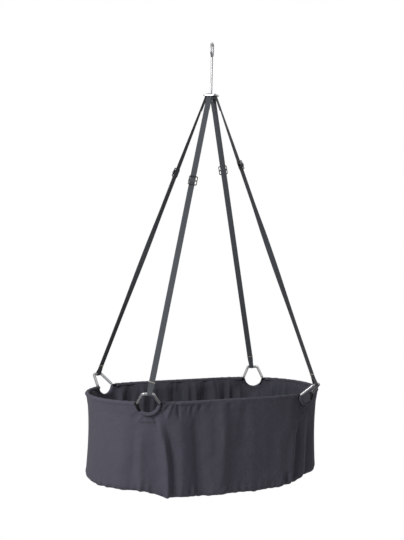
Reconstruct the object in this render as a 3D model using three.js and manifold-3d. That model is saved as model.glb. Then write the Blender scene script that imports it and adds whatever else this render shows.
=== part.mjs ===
// Hanging baby cradle: an oval fabric basket on four webbing straps, a slotted steel plate and a ball swivel
// under a steel hook rod. Millimetres, +Z up, +X along the basket, origin where the eye of the rod bears.
import * as THREE from 'three';
import { mergeVertices } from 'three/addons/utils/BufferGeometryUtils.js';
import Module from 'manifold-3d';

const wasm = await Module();
wasm.setup();

// Driving dimensions of the basket
const basketLength = 885;
const basketWidth = 464;
const basketDepth = 305;
const rimStraight = 294;
const endExponent = 2.1;
const cornerShare = 0.113;
const fabric = 1.5;
const railRadius = 5;
const rimInset = 7.3;
const fit = 0.3;

// Driving dimensions of what it hangs on
const hangerHeight = 1047;
const plateSide = 47;
const plateThickness = 4.5;
const plateCorner = 8;
const rodRadius = 4;
const rodHeight = 187;
const eyeWidth = 22;
const eyeHeight = 39;
const eyeTurn = 48;

// Webbing
const webWidth = 20;
const webThickness = 1.5;
const gatheredWidth = 15;
const webShift = 5;
const sewnLength = 55;
const bridgeWidth = 3.2;
const bridgeRadius = 16.1;

// Corner fittings
const barRadius = 5;
const ringRadius = 37;
const ringOffset = 9;
const ringRise = 3;
const bendRadius = 7;
const armLength = 18;
const bailReach = 56;
const bailTilt = 47.7;
const bailTop = 24;
const bailCorner = 8;
const spigotRadius = 3.2;
const spigotLength = 14;

const rimZ = rodRadius * 2 - rodHeight - hangerHeight;
const plateZ = rodRadius * 2 - rodHeight;

const corners = [
  { name: 'front_right', sideX: 1, sideY: -1, sliderShare: 0.24, keeperHeight: 34 },
  { name: 'back_right', sideX: 1, sideY: 1, sliderShare: 0.255, keeperHeight: 40 },
  { name: 'back_left', sideX: -1, sideY: 1, sliderShare: 0.27, keeperHeight: 29 },
  { name: 'front_left', sideX: -1, sideY: -1, sliderShare: 0.30, keeperHeight: 35 },
];

// Finishes
function finish(color, roughness, metalness) {
  return () => new THREE.MeshStandardMaterial({ color, roughness, metalness });
}
const steel = finish(0xc9c7c2, 0.25, 1);
const darkMetal = finish(0x4b4844, 0.4, 0.9);
const blackPaint = finish(0x0c0c0d, 0.5, 0);
const coverCloth = finish(0x4b4a54, 0.9, 0);
const liningCloth = finish(0x3a3943, 0.9, 0);
const webbing = finish(0x3d4045, 0.85, 0);
const board = finish(0xb08a5b, 0.7, 0);
const ticking = finish(0xe9e6df, 0.9, 0);
const nylon = finish(0x2a2a2c, 0.5, 0);

const cradle = new THREE.Group();

function addPiece(name, geometry, material) {
  const mesh = new THREE.Mesh(geometry, material());
  mesh.name = name;
  cradle.add(mesh);
  return mesh;
}

// Closed bodies
function welded(geometry) {
  const bare = geometry.clone();
  bare.deleteAttribute('normal');
  bare.deleteAttribute('uv');
  return mergeVertices(bare);
}

function solidOf(geometry) {
  const merged = welded(geometry);
  const vertProperties = new Float32Array(merged.getAttribute('position').array);
  const triVerts = new Uint32Array(merged.getIndex().array);
  return new wasm.Manifold(new wasm.Mesh({ numProp: 3, vertProperties, triVerts }));
}

function geometryOf(solid) {
  const cut = solid.getMesh();
  const geometry = new THREE.BufferGeometry();
  geometry.setAttribute('position', new THREE.BufferAttribute(new Float32Array(cut.vertProperties), 3));
  geometry.setIndex(new THREE.BufferAttribute(new Uint32Array(cut.triVerts), 1));
  return geometry;
}

// Sections and routes
const degree = Math.PI / 180;

function ringOfPoints(radius, sides) {
  const points = [];
  for (let i = 0; i < sides; i += 1) {
    const angle = (i / sides) * 2 * Math.PI;
    points.push(new THREE.Vector2(radius * Math.cos(angle), radius * Math.sin(angle)));
  }
  return points;
}

const sectionSides = 10;

function roundSection(radius, boreRadius = 0) {
  const shape = new THREE.Shape(ringOfPoints(radius, sectionSides));
  if (boreRadius > 0) shape.holes.push(new THREE.Path(ringOfPoints(boreRadius, sectionSides)));
  return shape;
}

// A route whose stations are exactly the points given
class Route extends THREE.Curve {
  constructor(points) {
    super();
    this.points = points;
  }

  getPoint(share, target = new THREE.Vector3()) {
    const place = share * (this.points.length - 1);
    const i = Math.min(Math.floor(place + 1e-6), this.points.length - 2);
    return target.copy(this.points[i]).lerp(this.points[i + 1], place - i);
  }

  getPointAt(share, target) {
    return this.getPoint(share, target);
  }

  getSpacedPoints(count) {
    return this.getPoints(count);
  }

  getTangentAt(share, target = new THREE.Vector3()) {
    const last = this.points.length - 1;
    const i = Math.round(share * last);
    target.set(0, 0, 0);
    if (i > 0) target.add(this.points[i].clone().sub(this.points[i - 1]).normalize());
    if (i < last) target.add(this.points[i + 1].clone().sub(this.points[i]).normalize());
    return target.normalize();
  }
}

function tube(points, section) {
  const extrudePath = new Route(points);
  return new THREE.ExtrudeGeometry(section, { steps: points.length - 1, extrudePath, bevelEnabled: false });
}

function rod(start, end, radius) {
  return tube([start, end], roundSection(radius));
}

// Rounds the corners of a polyline with arcs of a few steps
function rounded(points, radius, steps) {
  const route = [points[0]];
  for (let i = 1; i < points.length - 1; i += 1) {
    const before = points[i - 1].clone().sub(points[i]).normalize();
    const after = points[i + 1].clone().sub(points[i]).normalize();
    const turn = Math.PI - before.angleTo(after);
    const reach = radius * Math.tan(turn / 2);
    const centre = before.clone().add(after).normalize().multiplyScalar(radius / Math.cos(turn / 2));
    centre.add(points[i]);
    const from = points[i].clone().addScaledVector(before, reach).sub(centre);
    const to = points[i].clone().addScaledVector(after, reach).sub(centre);
    for (let k = 0; k <= steps; k += 1) {
      const share = k / steps;
      const a = Math.sin((1 - share) * turn) / Math.sin(turn);
      const b = Math.sin(share * turn) / Math.sin(turn);
      route.push(centre.clone().addScaledVector(from, a).addScaledVector(to, b));
    }
  }
  route.push(points[points.length - 1]);
  return route;
}

function roundedRectangle(width, height, radius, PathClass) {
  const x = width / 2;
  const y = height / 2;
  const path = new PathClass();
  path.moveTo(-x + radius, -y);
  path.lineTo(x - radius, -y);
  path.absarc(x - radius, -y + radius, radius, -Math.PI / 2, 0, false);
  path.lineTo(x, y - radius);
  path.absarc(x - radius, y - radius, radius, 0, Math.PI / 2, false);
  path.lineTo(-x + radius, y);
  path.absarc(-x + radius, y - radius, radius, Math.PI / 2, Math.PI, false);
  path.lineTo(-x, -y + radius);
  path.absarc(-x + radius, -y + radius, radius, Math.PI, Math.PI * 1.5, false);
  return path;
}

function shifted(path, x, y, cornerSteps = 2) {
  const points = path.getPoints(cornerSteps).map((p) => new THREE.Vector2(p.x + x, p.y + y));
  points.pop();
  return new THREE.Path(points);
}

// Oval of the rim, measured by its own length
function ovalOutline(samples) {
  const straight = rimStraight / 2;
  const points = [];
  for (let i = 0; i < samples; i += 1) {
    const angle = (i / samples) * 2 * Math.PI;
    const c = Math.cos(angle);
    const s = Math.sin(angle);
    const reach = (basketLength / 2 - straight) * Math.abs(c) ** (2 / endExponent);
    const x = Math.sign(c) * (straight + reach);
    const y = Math.sign(s) * (basketWidth / 2) * Math.abs(s) ** (2 / endExponent);
    points.push(new THREE.Vector2(x, y));
  }
  return points;
}

const ovalPoints = ovalOutline(1440);
const ovalLengths = [0];
ovalPoints.forEach((point, i) => {
  const next = ovalPoints[(i + 1) % ovalPoints.length];
  ovalLengths.push(ovalLengths[i] + point.distanceTo(next));
});
const rimPerimeter = ovalLengths[ovalPoints.length];

function ovalAt(share) {
  const length = (((share % 1) + 1) % 1) * rimPerimeter;
  let low = 0;
  let high = ovalPoints.length;
  while (high - low > 1) {
    const middle = (low + high) >> 1;
    if (ovalLengths[middle] <= length) low = middle;
    else high = middle;
  }
  const part = (length - ovalLengths[low]) / (ovalLengths[low + 1] - ovalLengths[low]);
  return ovalPoints[low].clone().lerp(ovalPoints[(low + 1) % ovalPoints.length], part);
}

function ovalNormal(share) {
  const step = 1 / 400;
  const along = ovalAt(share + step).sub(ovalAt(share - step)).normalize();
  return new THREE.Vector2(along.y, -along.x);
}

// Columns that rails and cloth share: even ones, the ends of each straight joint and the crests of folds
const evenColumns = 40;
const foldShares = [0.606, 0.62, 0.674, 0.688, 0.8455];
const ringShares = [cornerShare, 0.5 - cornerShare, 0.5 + cornerShare, 1 - cornerShare];
const reachShare = (ringRadius + bendRadius) / rimPerimeter;
const jointShare = (armLength + spigotLength + fit) / rimPerimeter;

function clearOfJoints(share) {
  const margin = 1 / evenColumns / 4;
  return ringShares.every((ring) => {
    const distance = Math.abs(share - ring);
    return distance < reachShare - margin || distance > reachShare + jointShare + margin;
  });
}

function chooseColumns() {
  const shares = [];
  for (let i = 0; i < evenColumns; i += 1) shares.push(i / evenColumns);
  const joints = [reachShare, reachShare + jointShare];
  const marks = ringShares.flatMap((ring) => joints.flatMap((joint) => [ring - joint, ring + joint]));
  const chosen = shares.filter(clearOfJoints).concat(marks, foldShares);
  return chosen.sort((a, b) => a - b);
}

const columns = chooseColumns().map((share) => ({ share, point: ovalAt(share), normal: ovalNormal(share) }));

function columnPoint(i, inset) {
  const column = columns[(i + columns.length) % columns.length];
  return column.point.clone().addScaledVector(column.normal, -inset);
}

function rimAt(share, inset) {
  const place = ((share % 1) + 1) % 1;
  let i = columns.length - 1;
  while (i > 0 && columns[i].share > place) i -= 1;
  const from = columns[i].share;
  const to = i + 1 < columns.length ? columns[i + 1].share : 1;
  return columnPoint(i, inset).lerp(columnPoint(i + 1, inset), (place - from) / (to - from));
}

function railPoint(share) {
  const p = rimAt(share, rimInset);
  return new THREE.Vector3(p.x, p.y, rimZ - rimInset + fit);
}

// Lofts rings of points from one pole to the other
function loft(startPole, rings, endPole) {
  const count = rings[0].length;
  const positions = [startPole, ...rings.flat(), endPole].flatMap((p) => [p.x, p.y, p.z]);
  const index = [];
  const last = 1 + count * rings.length;
  for (let i = 0; i < count; i += 1) {
    const next = (i + 1) % count;
    index.push(0, 1 + next, 1 + i);
    for (let row = 0; row < rings.length - 1; row += 1) {
      const low = 1 + row * count;
      const high = low + count;
      index.push(low + i, low + next, high + next, low + i, high + next, high + i);
    }
    const top = last - count;
    index.push(top + i, top + next, last);
  }
  const geometry = new THREE.BufferGeometry();
  geometry.setAttribute('position', new THREE.Float32BufferAttribute(positions, 3));
  geometry.setIndex(index);
  return geometry;
}

// Hook rod: shank and closed eye of one bent bar
function makeHookRod() {
  const half = eyeWidth / 2;
  const top = rodRadius - half;
  const low = rodRadius - eyeHeight;
  const overlap = 16;
  const turnRadius = 9;
  const nose = rodRadius * 2 + fit * 2;
  const leadIn = overlap / 4;
  const shankEnd = ballZ - ballBase - fit - nutHeight + nutRoof;
  const plan = rounded([
    new THREE.Vector3(0, 0, shankEnd),
    new THREE.Vector3(0, 0, low - overlap / 2),
    new THREE.Vector3(-half, 0, low + overlap / 2),
    new THREE.Vector3(-half, 0, top),
  ], turnRadius, 3);
  const arcSteps = 10;
  for (let i = 1; i <= arcSteps; i += 1) {
    const angle = Math.PI * (1 - i / arcSteps);
    plan.push(new THREE.Vector3(half * Math.cos(angle), 0, top + half * Math.sin(angle)));
  }
  const tip = rounded([
    new THREE.Vector3(half, 0, top - leadIn),
    new THREE.Vector3(half, 0, low + overlap / 2),
    new THREE.Vector3(nose, 0, low - leadIn),
  ], turnRadius / 2, 3);
  plan.push(...tip);
  const turn = new THREE.Matrix4().makeRotationZ(eyeTurn * degree);
  const stations = plan.map((p) => p.applyMatrix4(turn));
  addPiece('hook_rod', tube(stations, roundSection(rodRadius)), steel);
}

// Ball swivel under the plate
const ballRadius = 6.8;
const seatThickness = 1.5;
const swivelDrop = 8.8;
const hubRadius = 11.4;
const plateHole = 6.8;
const ballBase = 4.4;
const nutHeight = 13;
const nutRoof = 4;
const nutFlats = 13;
const nutCollar = 6.5;
const latheSteps = 18;

function arcProfile(radius, from, to, steps, centre = 0) {
  const points = [];
  for (let i = 0; i <= steps; i += 1) {
    const angle = (from + ((to - from) * i) / steps) * degree;
    points.push(new THREE.Vector2(radius * Math.cos(angle), centre + radius * Math.sin(angle)));
  }
  return points;
}

function lathe(points, height) {
  const geometry = new THREE.LatheGeometry(points, latheSteps);
  geometry.rotateX(Math.PI / 2);
  geometry.translate(0, 0, height);
  return geometry;
}

const ballZ = plateZ - swivelDrop;

function makeSwivel() {
  const bore = rodRadius + fit;
  const topAngle = Math.acos(bore / ballRadius) / degree;
  const lowAngle = -Math.asin(ballBase / ballRadius) / degree;
  const ball = arcProfile(ballRadius, lowAngle, topAngle, 7);
  ball.unshift(new THREE.Vector2(bore, -ballBase));
  ball.push(ball[0].clone());
  addPiece('swivel_ball', lathe(ball, ballZ), steel);

  const inner = ballRadius + fit;
  const outer = inner + seatThickness;
  const opening = (plateHole - fit) / outer;
  const rise = Math.acos(opening) / degree;
  const innerRise = Math.acos((rodRadius + 4 * fit) / inner) / degree;
  const seat = arcProfile(outer, 0, rise, 5);
  seat.push(...arcProfile(inner, innerRise, 0, 5));
  seat.push(seat[0].clone());
  addPiece('ball_seat', lathe(seat, ballZ), nylon);

  const hexagon = new THREE.Shape(ringOfPoints(nutFlats / 2 / Math.cos(Math.PI / 6), 6));
  const collar = new THREE.ExtrudeGeometry(hexagon, { depth: nutCollar, bevelEnabled: false });
  collar.translate(0, 0, nutHeight - nutCollar);
  const domeRadius = nutFlats / 2 - fit;
  const dome = arcProfile(domeRadius, -90, 0, 5, domeRadius);
  dome.push(new THREE.Vector2(domeRadius, nutHeight - fit), new THREE.Vector2(0, nutHeight - fit));
  const pocket = new THREE.Vector3(0, 0, nutRoof - fit);
  const mouth = new THREE.Vector3(0, 0, nutHeight + nutRoof);
  const nut = solidOf(collar).add(solidOf(lathe(dome, 0))).subtract(solidOf(rod(pocket, mouth, bore + fit)));
  const nutGeometry = geometryOf(nut);
  nutGeometry.translate(0, 0, ballZ - ballBase - fit - nutHeight);
  addPiece('dome_nut', nutGeometry, steel);
}

// Hanger plate: rounded square with a pair of slots on each side and a hub round the ball seat
const slotPlay = 2;
const slotClearance = 0.39;

function makePlate() {
  const bevel = 0.5;
  const flat = plateSide - 2 * bevel;
  const outline = roundedRectangle(flat, flat, plateCorner - bevel, THREE.Shape);
  outline.holes.push(new THREE.Path(ringOfPoints(plateHole + bevel, latheSteps)));
  const slotWidth = webThickness + 2 * slotClearance;
  const slotLength = webWidth + slotPlay;
  const slotOffset = (bridgeWidth + slotWidth) / 2;
  const shrink = 2 * bevel;
  const slot = roundedRectangle(slotWidth + shrink, slotLength + shrink, slotWidth / 2, THREE.Path);
  const sides = [0, 1, 2, 3];
  for (const side of sides) {
    for (const radius of [bridgeRadius - slotOffset, bridgeRadius + slotOffset]) {
      const turn = (side * Math.PI) / 2;
      const points = shifted(slot, radius, 0).getPoints();
      points.forEach((p) => p.rotateAround(new THREE.Vector2(), turn));
      outline.holes.push(new THREE.Path(points));
    }
  }
  const depth = plateThickness - shrink;
  const settings = { depth, bevelThickness: bevel, bevelSize: bevel, bevelSegments: 1, curveSegments: 5 };
  const plate = new THREE.ExtrudeGeometry(outline, settings);
  plate.translate(0, 0, bevel - plateThickness / 2);
  plate.rotateZ(Math.PI / 4);

  const cavity = ballRadius + seatThickness + 2 * fit;
  const rise = Math.acos(plateHole / cavity) / degree;
  const hub = arcProfile(cavity, rise, 0, 5, -swivelDrop);
  hub.push(new THREE.Vector2(hubRadius, -swivelDrop), new THREE.Vector2(hubRadius, 0));
  hub.push(new THREE.Vector2(plateHole, 0), hub[0].clone());
  const solid = solidOf(plate).add(solidOf(lathe(hub, 0)));
  const geometry = geometryOf(solid);
  geometry.translate(0, 0, plateZ);
  addPiece('hanger_plate', geometry, steel);
}

// Frame of one corner ring: its centre on the rail, its tangent and its outward normal
function ringFrame(corner) {
  const half = ringRadius / rimPerimeter;
  const away = corner.sideX * corner.sideY * cornerShare;
  const share = corner.sideX > 0 ? 1 + away : 0.5 + away;
  const before = railPoint(share - half);
  const after = railPoint(share + half);
  const along = after.clone().sub(before).normalize();
  const normal = new THREE.Vector3(along.y, -along.x, 0);
  const centre = before.add(after).multiplyScalar(0.5).addScaledVector(normal, ringOffset);
  centre.z += ringRise;
  const tilt = bailTilt * degree;
  const rise = normal.clone().multiplyScalar(Math.sin(tilt)).add(new THREE.Vector3(0, 0, Math.cos(tilt)));
  return { share, centre, along, normal, rise };
}

function inPlane(frame, across, up, upAxis) {
  return frame.centre.clone().addScaledVector(frame.along, across).addScaledVector(upAxis, up);
}

const footGap = 0.6;
const footDrop = 1.5;
const shoulderShare = 0.7;

function bailFoot(frame, side) {
  const vertical = new THREE.Vector3(0, 0, 1);
  return inPlane(frame, side * (ringRadius + footDrop / 2), -footDrop, vertical);
}

function bailLeg(frame, side) {
  const shoulder = bailTop / 2 + bailCorner * shoulderShare;
  const top = inPlane(frame, side * shoulder, bailReach, frame.rise);
  const foot = bailFoot(frame, side);
  return { top, foot, direction: top.clone().sub(foot).normalize() };
}

// Steel bail: bent bar with a spigot at each foot
function makeBail(corner, frame) {
  const left = bailLeg(frame, -1);
  const right = bailLeg(frame, 1);
  const seat = barRadius + footGap;
  const leftEnd = left.foot.clone().addScaledVector(left.direction, seat);
  const rightEnd = right.foot.clone().addScaledVector(right.direction, seat);
  const route = rounded([leftEnd, left.top, right.top, rightEnd], bailCorner, 4);
  let solid = solidOf(tube(route, roundSection(barRadius)));
  for (const [end, leg] of [[leftEnd, left], [rightEnd, right]]) {
    const tip = leg.foot.clone().addScaledVector(leg.direction, footDrop + fit);
    const root = end.clone().addScaledVector(leg.direction, barRadius);
    solid = solid.add(solidOf(rod(tip, root, spigotRadius)));
  }
  addPiece(`bail_${corner.name}`, geometryOf(solid), steel);
}

// Lower arc of a corner ring
function hangingArc(frame) {
  const steps = 10;
  const firstAngle = 12;
  const vertical = new THREE.Vector3(0, 0, 1);
  const arc = [];
  for (let i = 0; i <= steps; i += 1) {
    const angle = (180 + firstAngle + ((180 - 2 * firstAngle) * i) / steps) * degree;
    arc.push(inPlane(frame, ringRadius * Math.cos(angle), ringRadius * Math.sin(angle), vertical));
  }
  return arc;
}

// Black U bracket: hangs in the notch, carries the bail and plugs into the rails
const bendShares = [0.3, 0.6];

function makeBracket(corner, frame) {
  const side = [-1, 1];
  const ends = side.map((s) => {
    const bend = railPoint(frame.share + s * reachShare);
    const bottom = railPoint(frame.share + s * (reachShare + jointShare));
    const direction = bottom.clone().sub(bend).normalize();
    const tip = bottom.clone().addScaledVector(direction, -spigotLength - fit);
    return { tip, bend, bottom, direction, share: frame.share + s * (reachShare + jointShare) };
  });
  const vertical = new THREE.Vector3(0, 0, 1);
  const hang = hangingArc(frame);
  const bendOf = (end, point, s) => {
    const knee = inPlane(frame, s * ringRadius, 0, vertical);
    return bendShares.map((share) => {
      const a = end.bend.clone().lerp(knee, share);
      const b = knee.clone().lerp(point, share);
      return a.lerp(b, share);
    });
  };
  const entry = bendOf(ends[0], hang[0], -1);
  const exit = bendOf(ends[1], hang[hang.length - 1], 1).reverse();
  const route = [ends[0].tip, ends[0].bend, ...entry, ...hang, ...exit, ends[1].bend, ends[1].tip];
  let solid = solidOf(tube(route, roundSection(barRadius)));
  for (const end of ends) {
    const root = end.tip.clone().addScaledVector(end.direction, -barRadius);
    const tip = end.tip.clone().addScaledVector(end.direction, spigotLength);
    solid = solid.add(solidOf(rod(root, tip, spigotRadius)));
  }
  for (const s of side) {
    const leg = bailLeg(frame, s);
    const bottom = leg.foot.clone().addScaledVector(leg.direction, footDrop);
    const mouth = leg.foot.clone().addScaledVector(leg.direction, barRadius * 3);
    solid = solid.subtract(solidOf(rod(bottom, mouth, spigotRadius + fit)));
  }
  addPiece(`u_bracket_${corner.name}`, geometryOf(solid), blackPaint);
  return ends;
}

// Fabric sleeve sewn round the lower part of the bracket
const sleeveRadius = barRadius + 2 * fit + fabric;

function makeSleeve(corner, frame) {
  const route = hangingArc(frame).slice(2, -2);
  const section = roundSection(sleeveRadius, barRadius + 2 * fit);
  addPiece(`ring_sleeve_${corner.name}`, tube(route, section), coverCloth);
}

// Rail between two brackets, bored at each end for their spigots
function makeRail(name, first, second) {
  const margin = 1 / evenColumns / 8;
  const from = first.share;
  const to = from + ((second.share - from + 1) % 1);
  const ends = [first, second].map((end) => ({
    mouth: end.tip.clone().addScaledVector(end.direction, fit),
    bottom: end.bottom,
    direction: end.direction,
  }));
  const stations = [ends[0].mouth, ends[0].bottom];
  for (let turn = 0; turn <= 1; turn += 1) {
    for (const column of columns) {
      const share = column.share + turn;
      if (share > from + margin && share < to - margin) stations.push(railPoint(share));
    }
  }
  stations.push(ends[1].bottom, ends[1].mouth);
  let solid = solidOf(tube(stations, roundSection(railRadius)));
  for (const end of ends) {
    const start = end.mouth.clone().addScaledVector(end.direction, -railRadius);
    solid = solid.subtract(solidOf(rod(start, end.bottom, spigotRadius + fit)));
  }
  addPiece(name, geometryOf(solid), steel);
}

// Folds of the cloth. Shares run round the rim from the right-hand end, towards the back first.
const creaseShare = 0.62;
const creaseLeanShare = 0.022;
const creaseSpreadShare = 0.016;
const creaseHeight = 11;
const sideSag = 24;
const tipDrop = 4;
const sagStartShare = 0.112;
const sagFullShare = 0.14;
const broadFolds = [
  { share: 0.674, spread: 0.012, height: -4 },
  { share: 0.688, spread: 0.012, height: 5 },
  { share: 0.836, spread: 0.008, height: 4 },
  { share: 0.8455, spread: 0.006, height: -4 },
  { share: 0.855, spread: 0.007, height: 6 },
];
const gatherHeight = 2.2;
const liningGather = 1.6;

function bump(share, centre, spread) {
  const distance = Math.abs(((share - centre + 1.5) % 1) - 0.5) / spread;
  return Math.exp(-distance * distance);
}

function columnLean(share, depthShare) {
  return creaseLeanShare * bump(share, creaseShare, 2 * creaseSpreadShare) * depthShare;
}

function coverFold(share, depthShare) {
  let height = creaseHeight * bump(share, creaseShare, creaseSpreadShare) * depthShare;
  for (const fold of broadFolds) {
    height += fold.height * bump(share, fold.share, fold.spread) * Math.sqrt(depthShare);
  }
  return height;
}

// The long sides hang below the ends: full between the corner creases
function sideHang(share) {
  const toEnd = Math.abs((((share + 0.25) % 0.5) + 0.5) % 0.5 - 0.25);
  const part = Math.min(1, Math.max(0, (toEnd - sagStartShare) / (sagFullShare - sagStartShare)));
  const tip = tipDrop * bump(share, creaseShare + creaseLeanShare, creaseSpreadShare);
  return sideSag * part * part * (3 - 2 * part) + tip;
}

// Ring of the cloth at a depth below the rim
const endShare = 0.6;
const drawShare = 0.9;

function clothRing(inset, depth, options = {}) {
  const { folds = 0, gather = 0, drop = 0 } = options;
  const depthShare = Math.min(1, Math.max(0, depth / basketDepth));
  return columns.map((column, i) => {
    const share = column.share + columnLean(column.share, folds * depthShare);
    const out = folds * coverFold(column.share, depthShare) + gather * (i % 2 ? 1 : -1);
    const normal = ovalNormal(share);
    const end = Math.max(0, Math.abs(column.point.x) / (basketLength / 2) - endShare);
    const drawn = inset + endDraw * end * Math.sin(Math.PI * Math.min(1, depthShare * drawShare));
    const point = folds > 0 ? ovalAt(share) : column.point.clone();
    point.addScaledVector(normal, out - drawn);
    const low = rimZ - depth - drop * sideHang(column.share);
    return new THREE.Vector3(point.x, point.y, low);
  });
}

const endDraw = 18;
const wallInset = 4.5;
const baseRounding = 25;
const lipAngle = 215;
const rollAngles = [-15, 45, 105, 160, lipAngle];

function rollRing(radius, angle) {
  const facet = radius / Math.cos(30 * degree);
  const out = facet * Math.cos(angle * degree);
  const up = facet * Math.sin(angle * degree);
  return columns.map((_, i) => {
    const p = columnPoint(i, rimInset - out);
    return new THREE.Vector3(p.x, p.y, rimZ - rimInset + fit + up);
  });
}

function notchCutter(frame, radius, reach) {
  const shape = new THREE.Shape();
  const above = 4 * railRadius;
  shape.moveTo(-radius, above);
  shape.lineTo(-radius, 0);
  shape.absarc(0, 0, radius, Math.PI, 2 * Math.PI, false);
  shape.lineTo(radius, above);
  shape.closePath();
  const settings = { depth: 2 * reach, bevelEnabled: false, curveSegments: 8 };
  const cutter = new THREE.ExtrudeGeometry(shape, settings);
  cutter.translate(0, 0, -reach);
  const vertical = new THREE.Vector3(0, 0, 1);
  const basis = new THREE.Matrix4().makeBasis(frame.along, vertical, frame.normal);
  basis.setPosition(frame.centre);
  cutter.applyMatrix4(basis);
  return solidOf(cutter);
}

const notchRadius = ringRadius + bendRadius + 5 * fit;
const liningNotchRadius = ringRadius + fabric;
const notchReach = 30;

function cutNotches(geometry, frames, radius) {
  let solid = solidOf(geometry);
  for (const frame of frames) solid = solid.subtract(notchCutter(frame, radius, notchReach));
  return geometryOf(solid);
}

// Outer cover: bottom, wall with its folds, and rim rolled over the rails
const wallShare = 0.4;

function makeCover(frames) {
  const gathered = { folds: 1, gather: gatherHeight };
  const rounding = baseRounding;
  const knee = rounding * (1 - Math.SQRT1_2);
  const skin = (extra) => [
    clothRing(wallInset + rounding, basketDepth - extra, { gather: gatherHeight }),
    clothRing(wallInset + knee + extra, basketDepth - knee - extra / 2, { ...gathered, drop: 1 }),
    clothRing(wallInset + extra, basketDepth - rounding, { folds: 1, gather: gatherHeight / 2, drop: 1 }),
    clothRing(wallInset + extra, basketDepth * wallShare, { folds: 1 }),
  ];
  const roll = (radius) => rollAngles.map((angle) => rollRing(radius, angle));
  const inner = railRadius + fit;
  const outer = inner + fabric;
  const rings = [...skin(0), ...roll(outer), ...roll(inner).reverse(), ...skin(fabric).reverse()];
  const start = new THREE.Vector3(0, 0, rimZ - basketDepth);
  const end = new THREE.Vector3(0, 0, rimZ - basketDepth + fabric);
  addPiece('outer_cover', cutNotches(loft(start, rings, end), frames, notchRadius), coverCloth);
}

// Base board, lining and mattress stand on the bottom of the cover
const boardThickness = 6;
const boardInset = 34;
const liningThickness = 1.5;
const mattressThickness = 42;
const mattressInset = 27;
const mattressCrown = 5;
const crownShare = 0.8;
const mattressDrawShare = 0.4;

const boardBottom = basketDepth - fabric - fit;
const floorBottom = boardBottom - boardThickness - fit;
const mattressBottom = floorBottom - liningThickness - fit;

function plainRing(inset, depth, scale = 1) {
  return columns.map((_, i) => {
    const p = columnPoint(i, inset).multiplyScalar(scale);
    return new THREE.Vector3(p.x, p.y, rimZ - depth);
  });
}

function makeBoard() {
  const edge = boardThickness / 4;
  const rings = [
    plainRing(boardInset + edge, boardBottom),
    plainRing(boardInset, boardBottom - edge),
    plainRing(boardInset, boardBottom - boardThickness + edge),
    plainRing(boardInset + edge, boardBottom - boardThickness),
  ];
  const start = new THREE.Vector3(0, 0, rimZ - boardBottom);
  const end = new THREE.Vector3(0, 0, rimZ - boardBottom + boardThickness);
  addPiece('base_board', loft(start, rings, end), board);
}

function makeLining(frames) {
  const lip = (railRadius + fit + fabric) / Math.cos(30 * degree);
  const topInset = rimInset + lip + fit + liningGather / 4;
  const wall = topInset + liningGather;
  const corner = boardInset / 2;
  const top = rimInset + railRadius / 2;
  const skin = (extra) => [
    clothRing(boardInset + boardThickness, floorBottom - extra),
    clothRing(wall + extra, floorBottom - corner, { gather: liningGather }),
    clothRing(wall + extra, basketDepth * wallShare, { gather: liningGather }),
    clothRing(topInset + extra, top),
  ];
  const rings = [...skin(0), ...skin(liningThickness).reverse()];
  const start = new THREE.Vector3(0, 0, rimZ - floorBottom);
  const end = new THREE.Vector3(0, 0, rimZ - floorBottom + liningThickness);
  addPiece('lining', cutNotches(loft(start, rings, end), frames, liningNotchRadius), liningCloth);
}

function makeMattress() {
  const full = mattressThickness;
  const side = mattressInset + endDraw * mattressDrawShare;
  const edge = full / 4;
  const rings = [
    plainRing(side + edge, mattressBottom),
    plainRing(side + edge / 4, mattressBottom - edge / 2),
    plainRing(side, mattressBottom - full / 2),
    plainRing(side + edge / 4, mattressBottom - full + edge / 2),
    plainRing(side + edge, mattressBottom - full + mattressCrown / 2),
    plainRing(side + 2 * edge, mattressBottom - full, crownShare),
  ];
  const start = new THREE.Vector3(0, 0, rimZ - mattressBottom);
  const end = new THREE.Vector3(0, 0, rimZ - mattressBottom + full + mattressCrown / 3);
  addPiece('mattress', loft(start, rings, end), ticking);
}

// Line of one strap from the bail up to the plate, with its width and outward directions
const layerStep = (webThickness + fit) / 2;

function strapFrame(corner, ring) {
  const shift = -corner.sideX * Math.sign(ring.along.x) * webShift;
  const apex = inPlane(ring, shift, bailReach, ring.rise);
  const azimuth = new THREE.Vector3(corner.sideX, corner.sideY, 0).normalize();
  const barAxis = new THREE.Vector3(-azimuth.y, azimuth.x, 0);
  const slotRadius = bridgeRadius + bridgeWidth / 2 + fit + webThickness / 2;
  const slotExit = plateZ - plateThickness / 2 - 2 * fit;
  const top = azimuth.clone().multiplyScalar(slotRadius).setZ(slotExit);
  const along = top.clone().sub(apex).normalize();
  let width = ring.along.clone().addScaledVector(along, -along.dot(ring.along)).normalize();
  let out = along.clone().cross(width);
  if (out.dot(azimuth) < 0) {
    width = width.negate();
    out = out.negate();
  }
  along.copy(top).sub(apex.clone().addScaledVector(out, -layerStep)).normalize();
  width.addScaledVector(along, -along.dot(width)).normalize();
  out = along.clone().cross(width);
  const bailAxis = ring.along.clone();
  if (bailAxis.dot(width) < 0) bailAxis.negate();
  if (barAxis.dot(width) < 0) barAxis.negate();
  const length = top.distanceTo(apex);
  return { apex, top, along, width, out, bailAxis, barAxis, azimuth, length, ring };
}

function onStrap(strap, height, offset) {
  return strap.apex.clone().addScaledVector(strap.along, height).addScaledVector(strap.out, offset);
}

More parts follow.
